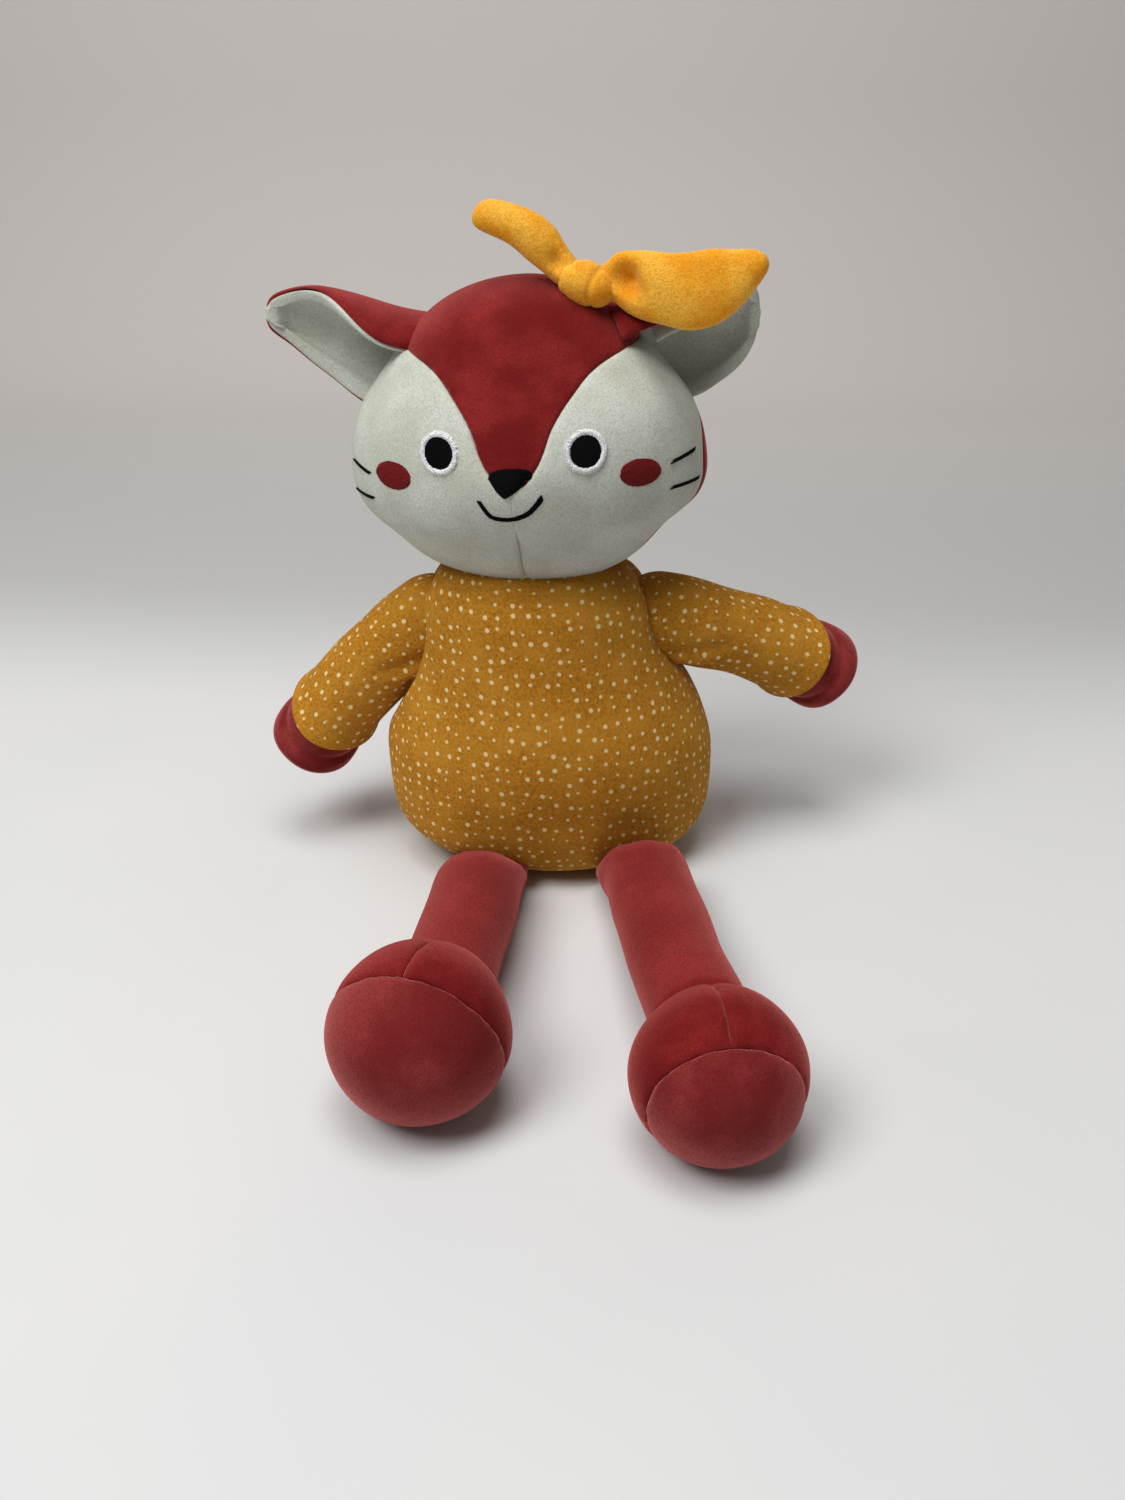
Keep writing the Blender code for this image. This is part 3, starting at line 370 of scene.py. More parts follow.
def new_material(name):
    made = FINISHES[name] = bpy.data.materials.new(name)
    made.use_nodes = True
    made.node_tree.nodes.clear()
    tree = Tree(made.node_tree)
    shader = tree.add("ShaderNodeBsdfPrincipled")
    tree.add("ShaderNodeOutputMaterial", {"Surface": shader.outputs[0]})
    return tree, shader


def velour(name, deep, middle, light, edge, brush=40.0, relief=0.35, painted_sheen=None):
    """Short-pile plush, lighter where its nap is brushed up.

    edge is the colour and weight of its sheen; the last argument is a painted sheen: a paler
    tone mixed into the colour where the pile is seen side on, and its share there.
    """
    tree, shader = new_material(name)
    pile = tree.add("ShaderNodeGroup", {
        "Vector": tree.object_place(), "Brush Scale": brush, "Relief": relief}, node_tree=PILE)
    shade = tree.mix(tree.range(pile.outputs["Brushed"], 0.38, 0.66), middle, light)
    if painted_sheen:
        # Painted sheen: the colour turns paler towards the outline, where the pile is seen side on
        graze = tree.add("ShaderNodeLayerWeight", {"Blend": 0.5}).outputs["Facing"]
        shade = tree.mix(tree.range(graze, 0.2, 0.9, 0.0, painted_sheen[1]), shade, painted_sheen[0])
    dark = tree.range(pile.outputs["Fibre"], 0.30, 0.62, 0.55, 0.0)
    tree.dress(shader, tree.mix(dark, shade, deep), pile.outputs["Normal"], {
        "Roughness": 0.85, "Specular IOR Level": 0.1,
        "Sheen Tint": edge[0], "Sheen Weight": edge[1], "Sheen Roughness": 0.3})


def jersey(name):
    """Yellow knitted cloth, printed with small uneven pale dots."""
    tree, shader = new_material(name)
    flat = tree.add("ShaderNodeUVMap", uv_map="cloth").outputs[0]
    place = tree.object_place()
    cells = tree.add("ShaderNodeTexVoronoi", {
        "Vector": flat, "Scale": 1 / DOT_SPACING, "Randomness": 0.55}, voronoi_dimensions="2D")
    pick = tree.add("ShaderNodeSeparateColor", {0: cells.outputs["Color"]}).outputs[0]
    size = tree.range(pick, 0.0, 1.0, 0.72 * DOT_RADIUS, 1.25 * DOT_RADIUS)
    away = tree.math("MULTIPLY", cells.outputs["Distance"], DOT_SPACING)
    ragged = tree.math("MULTIPLY", tree.noise(flat, 1800.0, 1.0), 0.25 * MM)
    edge = tree.math("SUBTRACT", tree.math("ADD", away, ragged), size)
    dots = tree.range(edge, -0.02 * MM, 0.28 * MM, 0.88, 0.0)
    fuzz = tree.noise(place, 900.0, 4.0, 0.7)
    worn = tree.noise(place, 60.0, 3.0, 0.6)
    ground = tree.mix(tree.range(fuzz, 0.30, 0.68), colour(150, 96, 20), colour(194, 134, 40))
    ground = tree.mix(tree.range(worn, 0.35, 0.70, 0.0, 0.35), ground, colour(206, 150, 54))
    ribs = tree.add("ShaderNodeTexWave", {
        "Vector": flat, "Scale": 420.0, "Distortion": 2.0, "Detail": 1.0}, bands_direction="X")
    height = tree.math("ADD", fuzz, tree.math("MULTIPLY", ribs.outputs["Fac"], 0.25))
    printed = tree.mix(dots, ground, colour(232, 214, 158))
    tree.dress(shader, printed, tree.bump(0.35, 0.0006, height), {
        "Roughness": 0.9, "Specular IOR Level": 0.1,
        "Sheen Tint": colour(236, 190, 110), "Sheen Weight": 0.12, "Sheen Roughness": 0.5})


def thread(name, shade, rough, gloss):
    """Embroidery thread, with the slight gloss of rayon."""
    tree, shader = new_material(name)
    twist = tree.noise(tree.object_place(), 2400.0)
    light = tuple(min(1.0, c * 1.3) for c in shade[:3]) + (1.0,)
    dark = tuple(c * 0.6 for c in shade[:3]) + (1.0,)
    tree.dress(shader, tree.mix(tree.range(twist, 0.3, 0.7), dark, light),
               tree.bump(0.3, 0.0002, twist), {"Roughness": rough, "Specular IOR Level": gloss})


def fibre(name):
    """Loose white polyester filling."""
    tree, shader = new_material(name)
    strands = tree.noise(tree.object_place(), 300.0, 6.0, 0.8)
    shade = tree.mix(tree.range(strands, 0.3, 0.7), colour(200, 200, 196), colour(245, 245, 243))
    tree.dress(shader, shade, tree.bump(0.6, 0.002, strands), {"Roughness": 0.95})


jersey("jumper")
velour("red_plush", colour(86, 13, 13), colour(110, 21, 21), colour(136, 37, 36),
       (colour(222, 124, 120), 0.8), painted_sheen=(colour(188, 86, 83), 0.55))
# Sole and hands: the red plush made a little paler and pinker, a painted sheen of their pile
velour("sole_plush", colour(92, 20, 20), colour(116, 33, 33), colour(140, 52, 51),
       (colour(222, 132, 128), 0.8), painted_sheen=(colour(190, 100, 98), 0.6))
velour("cream_plush", colour(150, 149, 134), colour(190, 194, 181), colour(204, 209, 199),
       (colour(240, 240, 230), 0.12), relief=0.25)
velour("bow_velvet", colour(190, 108, 14), colour(238, 160, 36), colour(252, 192, 70),
       (colour(255, 226, 140), 0.2), brush=70.0, relief=0.5, painted_sheen=(colour(255, 214, 110), 0.4))
thread("black_thread", colour(4, 4, 6), rough=0.7, gloss=0.08)
thread("white_thread", colour(226, 231, 238), rough=0.4, gloss=0.4)
thread("red_thread", colour(116, 27, 28), rough=0.6, gloss=0.12)
fibre("filling")


# Cloth forms

def face_outwards(bm):
    """Turn a closed mesh right side out."""
    bmesh.ops.recalc_face_normals(bm, faces=bm.faces)
    if bm.calc_volume(signed=True) < 0:
        bmesh.ops.reverse_faces(bm, faces=bm.faces)


def skin(rows, columns, place, start=0.0):
    """A closed skin placed by place(down, angle), with the cloth laid flat in its UV map.

    The angle runs once round from the start, where the cloth's two edges meet.
    """
    bm = bmesh.new()
    bmesh.ops.create_grid(bm, x_segments=columns, y_segments=rows, size=0.5)
    angles = [start + 2 * pi * column / columns for column in range(columns + 1)]
    spots = [[place(row / rows, angle) for angle in angles] for row in range(rows + 1)]
    along = [0.0]
    for above, below in zip(spots, spots[1:]):
        along.append(along[-1] + (below[columns // 2] - above[columns // 2]).length)
    across = []
    for row in spots:
        run = [0.0]
        for a, b in zip(row, row[1:]):
            run.append(run[-1] + (b - a).length)
        across.append([value - run[columns // 2] for value in run])
    cloth = bm.loops.layers.uv.new("cloth")
    address = {}
    for vert in bm.verts:
        row = round((vert.co.y + 0.5) * rows)
        column = round((vert.co.x + 0.5) * columns)
        address[vert] = (row, column)
        vert.co = spots[row][column]
    for item in bm.faces:
        middle = sum(address[vert][1] for vert in item.verts) / len(item.verts)
        behind = abs(middle / columns - 0.5) > 0.25
        for loop in item.loops:
            row, column = address[loop.vert]
            u = across[row][column]
            if behind:
                u += -across[row][-1] if column > columns / 2 else -across[row][0]
            loop[cloth].uv = (u, along[row])
    bmesh.ops.remove_doubles(bm, verts=bm.verts, dist=0.001 * MM)
    face_outwards(bm)
    return bm


def split_along(bm, value, where):
    """Cut new edges into the mesh where value(point) is zero, and return the points on them."""
    level = {vert: value(vert.co) for vert in bm.verts}
    line = {vert for vert in bm.verts if abs(level[vert]) < SEAM_SNAP and where(vert.co)}
    crossing = []
    for edge in bm.edges:
        a, b = edge.verts
        if a in line or b in line or level[a] * level[b] >= 0:
            continue
        if where(a.co) and where(b.co):
            crossing.append(edge)
    for edge in crossing:
        a, b = edge.verts
        share = level[a] / (level[a] - level[b])
        line.add(bmesh.utils.edge_split(edge, a, share)[1])
    # In the mesh's order, so that each run gives the same triangles
    bmesh.ops.connect_verts(bm, verts=[vert for vert in bm.verts if vert in line])
    return line


def draw_seam(bm, value, where=lambda p: True):
    """Cut a seam where value(point) is zero, with a close row of cloth on both sides of it."""
    for beside in (-SEAM_ROW, SEAM_ROW):
        split_along(bm, lambda p: value(p) - beside, where)
    return split_along(bm, value, where)


def spread(starts, reach):
    """The distance along the cloth from the nearest start, up to the reach."""
    away = {vert: 0.0 for vert in starts}
    queue = [(0.0, number, vert) for number, vert in enumerate(starts)]
    heapq.heapify(queue)
    count = len(queue)
    while queue:
        so_far, _, vert = heapq.heappop(queue)
        if so_far > away[vert]:
            continue
        for edge in vert.link_edges:
            other = edge.other_vert(vert)
            further = so_far + edge.calc_length()
            if further < reach and further < away.get(other, reach):
                away[other] = further
                count += 1
                heapq.heappush(queue, (further, count, other))
    return away


def move_along_normals(bm, step):
    """Move each vertex by step(vert) along its normal, once all the steps are known."""
    bm.normal_update()
    moves = [(vert, vert.normal * step(vert)) for vert in bm.verts]
    for vert, move in moves:
        vert.co += move


def sink_seams(bm, line, share=lambda p: 1.0, pucker=0.5):
    """Draw the cloth in along its seams, unevenly, as thread does."""
    away = spread([vert for vert in line if vert.is_valid], SEAM_REACH)

    def step(vert):
        if vert not in away:
            return 0.0
        fall = 1 - away[vert] / SEAM_REACH
        sink = SEAM_DEPTH * (1 - root(1 - fall * fall) + 0.25 * fall * fall)
        sink *= 1 + pucker * noise.noise(vert.co * SEAM_PUCKER_SCALE)
        return -sink * share(vert.co)
    move_along_normals(bm, step)


def add_to_scene(name, data):
    made = bpy.data.objects.new(name, data)
    bpy.context.collection.objects.link(made)
    return made


def as_object(name, bm, slot, matrix, thick, levels=1):
    """A finished piece whose object stands at the origin."""
    if matrix is not None:
        bmesh.ops.transform(bm, matrix=matrix, verts=bm.verts)
    mesh = bpy.data.meshes.new(name)
    bm.to_mesh(mesh)
    bm.free()
    mesh.materials.append(FINISHES[slot])
    mesh.shade_smooth()
    made = add_to_scene(name, mesh)
    if levels:
        fine = made.modifiers.new("fine", "SUBSURF")
        fine.levels = levels
        fine.render_levels = levels
    if thick:
        wall = made.modifiers.new("wall", "SOLIDIFY")
        wall.thickness = thick
        wall.offset = -1
    return made


def soft_piece(kind, node, bm, slot, body, matrix=None, thick=0):
    """A padded piece in the place of a CAD node, on its body and in its slot."""
    piece = as_object(f"{kind}_{node}", bm, slot, matrix, thick)
    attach(piece, body)
    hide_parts(node)


def mark_panels(bm, which):
    """Number each face's panel before the seams are drawn in."""
    layer = bm.faces.layers.int.new("panel")
    for item in bm.faces:
        item[layer] = which(item.calc_center_median())


def numbered_panel(bm, number):
    part = bm.copy()
    layer = part.faces.layers.int["panel"]
    others = [item for item in part.faces if item[layer] != number]
    bmesh.ops.delete(part, geom=others, context="FACES")
    return part


def swell(bm, kind, share=lambda p: 1.0):
    """Soft uneven swells in the cloth."""
    amount, scale = SWELLS[kind]
    move_along_normals(
        bm, lambda vert: amount * share(vert.co) * noise.noise(vert.co * scale))


def rest_on_floor(bm):
    for vert in bm.verts:
        vert.co.z = max(vert.co.z, 0.0)


def make_filling(node, place, start, body, matrix=None, inset=FILLING_INSET, rows=24, columns=32):
    """The stuffing inside a cover, a little smaller than it."""
    bm = skin(rows, columns, place, start)
    move_along_normals(bm, lambda vert: -inset)
    soft_piece("stuffing", node, bm, "filling", body, matrix)


# Frames of the moving pieces

NECK = Vector(JOINTS["head_turn"]["pos_m"])
HEAD = Matrix.Translation(NECK) @ (
    Matrix.Rotation(HEAD_TURN, 4, "Z") @ Matrix.Rotation(HEAD_TILT, 4, "Y"))
ARM = {}
LEG = {}
for side, side_name in SIDE_NAMES.items():
    shoulder = Vector(JOINTS[f"arm_{side_name}_raise"]["pos_m"])
    ARM[side] = Matrix.Translation(shoulder) @ (
        Matrix.Rotation(side * ARM_SWEEP[side], 4, "Z")
        @ Matrix.Rotation(side * ARM_DROOP[side], 4, "Y"))
    hip = Vector(JOINTS[f"leg_{side_name}_raise"]["pos_m"])
    climb = asin((FOOT_RADIUS - PRESSED_FLAT - hip.z) / LEG_REACH[side])
    LEG[side] = Matrix.Translation(hip) @ (
        Matrix.Rotation(side * LEG_SPLAY[side], 4, "Z") @ Matrix.Rotation(-climb, 4, "X"))


# Torso

def torso_point(down, angle):
    low = -PRESSED_FLAT
    height = low + (TORSO_HEIGHT - low) * (1 + cos(pi * down)) / 2
    share = height / TORSO_HEIGHT
    seat = max(0.0, 1 - (height - low) / SEAT_ROUNDING)
    collar = max(0.0, 1 - (TORSO_HEIGHT - height) / SHOULDER_ROUNDING)
    close = (1 - seat ** 3) ** (1 / 3) * root(1 - collar ** 2)
    wide = TORSO_WIDTH / 2 * smooth([(s, w) for s, w, d in TORSO_SHARES], share) * close
    deep = TORSO_DEPTH / 2 * smooth([(s, d) for s, w, d in TORSO_SHARES], share) * close
    lean = -TORSO_LEAN * max(0.0, share) ** 1.5
    return Vector((lean + wide * cos(angle), deep * sin(angle), max(height, 0.0)))


def limb_distance(point, side):
    """How far a point of the torso is outside the arm and outside the leg of a side."""
    arm = ARM[side].inverted() @ point
    from_arm = hypot(min(0.0, arm.x * side), arm.y / ARM_ROOT_DEPTH_SHARE, arm.z) - ARM_ROOT
    leg = LEG[side].inverted() @ point
    from_leg = hypot(leg.x, max(0.0, leg.y), leg.z) - LEG_RADIUS
    return from_arm, from_leg


def make_torso():
    bm = skin(96, 160, torso_point, BEHIND)
    line = draw_seam(bm, lambda p: p.y - SIDE_SEAM_SETBACK)
    mark_panels(bm, lambda p: int(p.y > SIDE_SEAM_SETBACK))
    sink_seams(bm, line, share=lambda p: 0.8)

    def sink_at_limbs(vert):
        sink = 0.0
        for side in SIDE_NAMES:
            for distance, deep in zip(limb_distance(vert.co, side), LIMB_SINK):
                fall = max(0.0, 1 - max(0.0, distance) / LIMB_SINK_REACH)
                sink = max(sink, deep * fall * fall)
        return -sink
    move_along_normals(bm, sink_at_limbs)
    swell(bm, "torso", lambda p: ramp(p.z, 4 * MM, 20 * MM))
    rest_on_floor(bm)
    for number, node in enumerate(("torso_front", "torso_back")):
        soft_piece("jumper", node, numbered_panel(bm, number), "jumper", "torso", thick=CLOTH)
    bm.free()
    make_filling("torso_filling", torso_point, BEHIND, "torso")


def make_neck():
    def place(down, angle):
        ring = sin(pi * down)
        return Vector((ring * cos(angle), ring * sin(angle), cos(pi * down))) * NECK_BALL
    bm = skin(32, 48, place, BEHIND)
    soft_piece("jumper", "neck", bm, "jumper", "neck", Matrix.Translation(NECK))


# Head

def head_point(down, angle):
    level = cos(pi * down)
    height = HEAD_RISE + level * (CROWN_HEIGHT if level > 0 else JAW_HEIGHT)
    ring = sin(pi * down) * smooth(HEAD_SHARES, level)
    x = HEAD_WIDTH / 2 * ring * cos(angle)
    front = sin(angle) < 0
    y = (HEAD_DEPTH_FRONT if front else HEAD_DEPTH_BACK) * ring * sin(angle)
    if front:
        rise = height - HEAD_RISE
        y -= MUZZLE_SWELL * bell(x, 0, MUZZLE_WIDTH) * bell(rise, 0, MUZZLE_HEIGHT)
    return Vector((x, y, height))


def forehead_side(point):
    """Positive on the forehead panel, negative on the face panels."""
    rise = (point.z - HEAD_RISE) / CROWN_HEIGHT
    half = smooth(FOREHEAD_SHARES, rise) * HEAD_WIDTH / 2
    if rise < FOREHEAD_SHARES[0][0]:
        half -= (FOREHEAD_SHARES[0][0] - rise) * CROWN_HEIGHT * 3
    return half - abs(point.x)


def side_seam(point):
    """Positive behind the seam between the face and the back of the head."""
    back = TOP_SEAM_SETBACK * ramp(point.z - HEAD_RISE, 0, 24 * MM)
    return point.y + FACE_SEAM - back


def chin_seam_share(point):
    """The chin seam shows only below the mouth."""
    rise = point.z - HEAD_RISE
    if abs(point.x) < 6 * MM and rise < 4 * MM:
        return ramp(-rise, 13 * MM, 20 * MM)
    return 1.0


def make_head():
    bm = skin(92, 184, head_point, BEHIND)

    def in_front(point):
        return side_seam(point) < ON_SEAM

    line = draw_seam(bm, side_seam)
    line |= draw_seam(bm, forehead_side, in_front)
    line |= draw_seam(bm, lambda p: p.x, lambda p: in_front(p) and forehead_side(p) < 0.2 * MM)

    def which(middle):
        if side_seam(middle) > 0:
            return 3
        if forehead_side(middle) > 0:
            return 0
        return 1 if middle.x < 0 else 2
    mark_panels(bm, which)
    sink_seams(bm, line, share=chin_seam_share)
    swell(bm, "head")
    surface = BVHTree.FromBMesh(bm)
    panels = (("forehead", "red_plush"), ("face_left", "cream_plush"),
              ("face_right", "cream_plush"), ("head_back", "red_plush"))
    for number, (node, slot) in enumerate(panels):
        soft_piece("cover", node, numbered_panel(bm, number), slot, "head", HEAD, thick=CLOTH)
    bm.free()
    make_filling("head_filling", head_point, BEHIND, "head", HEAD)
    return surface


# Embroidery

def on_face(surface, x, rise, off):
    """A point of the face, in the head's frame, raised off the cloth."""
    start = Vector((x, -200 * MM, HEAD_RISE + rise))
    place, normal, _, _ = surface.ray_cast(start, Vector((0, 1, 0)))
    if place is None:
        place, normal, _, _ = surface.find_nearest(Vector((x, -FACE_SEAM, HEAD_RISE + rise)))
    return place + normal * off


def embroider(node, surface, rows, slot):
    """Rows of thread on the face: each row is a list of (x, rise, height off the cloth)."""
    name = f"stitched_{node}"
    curve = bpy.data.curves.new(name, "CURVE")
    curve.dimensions = "3D"
    curve.bevel_depth = THREAD
    curve.bevel_resolution = 1
    curve.use_fill_caps = True
    for row in rows:
        line = curve.splines.new("POLY")
        line.points.add(len(row) - 1)
        for point, (x, rise, off) in zip(line.points, row):
            point.co = (*(HEAD @ on_face(surface, x, rise, off)), 1)
    spare = add_to_scene("spare", curve)
    bpy.context.view_layer.update()
    graph = bpy.context.evaluated_depsgraph_get()
    mesh = bpy.data.meshes.new_from_object(spare.evaluated_get(graph))
    bpy.data.objects.remove(spare, do_unlink=True)
    mesh.name = name
    mesh.materials.clear()
    mesh.materials.append(FINISHES[slot])
    mesh.shade_smooth()
    made = add_to_scene(name, mesh)
    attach(made, "head")
    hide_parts(node)


def satin(x, rise, bottom, top, half_span, seed, steps=5, height=0.45 * MM):
    """Parallel stitches: at each level the row runs across half_span(level) to both sides."""
    chance = random.Random(seed)
    rows = []
    count = max(2, round((top - bottom) / SATIN_SPACING))
    for number in range(count + 1):
        level = between(bottom, top, number / count)
        half = half_span(level)
        if half <= 0.15 * MM:
            continue
        row = []
        for step in range(steps):
            across = between(-1.0, 1.0, step / (steps - 1))
            reach = half + chance.uniform(-0.12, 0.12) * MM
            off = height * (1 - across ** 4) - 0.05 * MM
            row.append((x + across * reach, rise + level, off))
        rows.append(row)
    return rows


def turned(rows, x, rise, angle):
    """Rows turned about a place on the face."""
    c, s = cos(angle), sin(angle)
    return [[(x + (a - x) * c - (b - rise) * s, rise + (a - x) * s + (b - rise) * c, off)
             for a, b, off in row] for row in rows]


def line_stitches(points, width, spacing, lean):
    """A stitched line: short threads that cross it at a slant."""
    chance = random.Random(3)
    runs = []
    for a, b in zip(points, points[1:]):
        count = max(1, round((b - a).length / spacing))
        runs += [(a.lerp(b, i / count), (b - a).normalized()) for i in range(count)]
    rows = []
    for number, (place, way) in enumerate(runs):
        share = number / len(runs)
        half = between(*width, share) / 2 * chance.uniform(0.9, 1.1)
        across = Vector((-way.y, way.x)) + way * lean
        a, b = place - across * half, place + across * half
        rows.append([(a.x, a.y, 0.0), (place.x, place.y, 0.42 * MM), (b.x, b.y, 0.0)])
    return rows


def eased_line(points, count):
    """A smooth line through a few points."""
    steps = [(i / (len(points) - 1), p) for i, p in enumerate(points)]
    return [Vector((smooth([(s, p.x) for s, p in steps], i / count),
                    smooth([(s, p.y) for s, p in steps], i / count))) for i in range(count + 1)]


def make_embroidery(surface):
    chance = random.Random(7)
    for side, name in SIDE_NAMES.items():
        x = side * EYE_APART / 2
        radius = PUPIL_RADIUS + 0.1 * MM
        rows = satin(x, EYE_RISE, -radius, radius,
                     lambda level: root(radius ** 2 - level ** 2), seed=2, steps=7)
        rows = turned(rows, x, EYE_RISE, PUPIL_TURN)
        embroider(f"pupil_{name}", surface, rows, "black_thread")
        ring = []
        for number in range(EYE_RING_STITCHES):
            turn = 2 * pi * (number + chance.uniform(-0.3, 0.3)) / EYE_RING_STITCHES
            slant = turn + 0.16
            inner = PUPIL_RADIUS - 0.25 * MM + chance.uniform(-0.15, 0.15) * MM
            outer = EYE_RING_RADIUS + chance.uniform(-0.25, 0.2) * MM
            row = []
            for share, off in ((0.0, 0.35), (0.3, 0.85), (0.7, 0.75), (1.0, -0.1)):
                reach, angle = between(inner, outer, share), between(turn, slant, share)
                rise = EYE_RISE + reach * sin(angle)
                row.append((x + reach * cos(angle), rise, off * MM))
            ring.append(row)
        embroider(f"eye_ring_{name}", surface, ring, "white_thread")
        x = side * CHEEK_APART / 2
        wide, tall = CHEEK_WIDTH / 2, CHEEK_HEIGHT / 2
        rows = satin(x, CHEEK_RISE, -wide, wide,
                     lambda level: tall * root(1 - (level / wide) ** 2), seed=4)
        rows = turned(rows, x, CHEEK_RISE, pi / 2 + CHEEK_SLOPE[side])
        embroider(f"cheek_{name}", surface, rows, "red_thread")

    def nose_half(level):
        if level > NOSE_WIDEST:
            share = (level - NOSE_WIDEST) / (NOSE_TOP - NOSE_WIDEST)
            return NOSE_WIDTH / 2 * root(1 - share ** 3)
        return NOSE_WIDTH / 2 * max(0.0, (level + NOSE_DROP) / (NOSE_WIDEST + NOSE_DROP)) ** 0.7
    rows = satin(*NOSE_PLACE, -NOSE_DROP, NOSE_TOP, nose_half, seed=5, height=0.9 * MM)
    slope = NOSE_LEAN / (NOSE_TOP + NOSE_DROP)
    rows = [[(x - slope * (NOSE_TOP - rise), rise, off) for x, rise, off in row] for row in rows]
    embroider("nose", surface, rows, "black_thread")
    rows = line_stitches(eased_line(MOUTH_POINTS, 28), MOUTH_WIDTH, 0.30 * MM, 0.7)
    embroider("mouth", surface, rows, "black_thread")
    for name, ends in WHISKERS.items():
        ends = [Vector(end) * MM for end in ends]
        rows = line_stitches(ends, (WHISKER_WIDTH, WHISKER_WIDTH), 0.32 * MM, 1.2)
        embroider(f"whisker_{name}", surface, rows, "black_thread")


# Ears

def ear_layer(side, front, rows=30, columns=44):
    """One cloth of the ear, cupped, thinning to the rim."""
    along = Vector((side * cos(EAR_LIFT), 0, sin(EAR_LIFT)))
    across = Vector((-side * sin(EAR_LIFT), 0, cos(EAR_LIFT)))
    bm = bmesh.new()
    bmesh.ops.create_grid(bm, x_segments=rows, y_segments=columns, size=0.5)
    rims = {}
    smaller = 1.0 if front else EAR_BACK_SHARE[side]
    inside = EAR_INSIDE_SHARE[side][0 if front else 1]
    for vert in bm.verts:
        down = sin(pi / 2 * (vert.co.x + 0.5))
        half = EAR_ROOT_WIDTH / 2 * smooth(EAR_SHARES[side], down) * smaller
        reach = EAR_LENGTH * between(-inside, EAR_SHOWN[side] * smaller, down)
        radius = EAR_CUP_RADIUS * between(1.0, EAR_TIP_CUP_SHARE, down)
        lean = EAR_CUP_TURN * (1 - down ** EAR_CUP_EASE[side])
        turn = lean + 2 * vert.co.y * half / radius
        up = radius * (sin(turn) - sin(lean))
        back = radius * cos(turn) - EAR_CUP_RADIUS * EAR_MIDDLE_SHARE - EAR_FORWARD * down
        rims[vert] = max(abs(2 * vert.co.y), down ** 3)
        back += EAR_HOLLOW * (1 - rims[vert] ** 3) * ramp(down, 0.15, 0.5)
        vert.co = along * reach + across * up + Vector((0, back, 0))
    swept = Matrix.Rotation(side * EAR_SWEEP[side], 3, across)
    drooped = Matrix.Rotation(side * EAR_DROOP[side], 3, "Y")
    bmesh.ops.rotate(bm, matrix=drooped @ swept, verts=bm.verts)
    if side == LEFT:
        bmesh.ops.reverse_faces(bm, faces=bm.faces)
    bm.normal_update()
    facing = 1 if front else -1
    under = EAR_LAYER_GAP * facing
    depth = EAR_CLOTH * facing
    shell = bmesh.ops.duplicate(bm, geom=bm.verts[:] + bm.edges[:] + bm.faces[:])
    copies = {a: b for a, b in shell["vert_map"].items() if isinstance(a, bmesh.types.BMVert)}
    moves = []
    for vert, twin in copies.items():
        if vert not in rims:
            continue
        full = root(1 - rims[vert] ** 14)
        rolled = EAR_ROLL * bell(rims[vert], 0.86, 0.10) if front else 0.0
        moves.append((vert, vert.normal * under))
        moves.append((twin, vert.normal * (under + depth * (0.35 + 0.65 * full) + rolled)))
    for vert, move in moves:
        vert.co += move
    bmesh.ops.bridge_loops(bm, edges=[edge for edge in bm.edges if edge.is_boundary])
    face_outwards(bm)
    return bm


def make_ears():
    for side, name in SIDE_NAMES.items():
        pivot = Vector(JOINTS[f"ear_{name}_bend"]["pos_m"])
        matrix = Matrix.Translation(pivot) @ HEAD.to_3x3().to_4x4()
        for layer, slot in (("ear_lining", "cream_plush"), ("ear_back", "red_plush")):
            bm = ear_layer(side, front=layer == "ear_lining")
            swell(bm, "ear")
            soft_piece("cover", f"{layer}_{name}", bm, slot, f"ear_{name}", matrix)


# Bow

def bow_end(side, rows=44, columns=40):
    """A padded strip that leaves the knot in pleats, swells and ends square-round."""
    tip, wide, deep = TAIL_TIP[side], TAIL_WIDTH[side], TAIL_DEPTH[side]
    along = tip.normalized()
    across = Vector((0, side, 0)).cross(along).normalized() * -1
    out = along.cross(across)

    def place(down, angle):
        run = (1 - cos(pi * down)) / 2
        share = between(-TAIL_INSIDE_SHARE, 1.0, run)
        width = wide * smooth([(at, w) for at, w, up in TAIL_SHARES[side]], share)
        arch = wide * smooth([(at, up) for at, w, up in TAIL_SHARES[side]], share)
        close = root(1 - abs(2 * run - 1) ** 9)
        level = cos(angle)
        hollow = HOLLOW_SHARE[side] * (1.7 if sin(angle) * side > 0 else 0.2)
        hollow *= bell(share, 0.13, 0.075) * bell(level, 0.1, 0.42)
        pleat = 1 - 0.12 * exp(-share / 0.10) * (0.5 + 0.5 * cos(5 * angle + 1.0))
        thin = between(1.0, 0.82, ramp(share, 0.5, 1.0))
        return (tip * share + across * (arch + width / 2 * close * level * pleat)
                + out * deep / 2 * close * sin(angle) * pleat * thin * (1 - hollow))
    return skin(rows, columns, place)


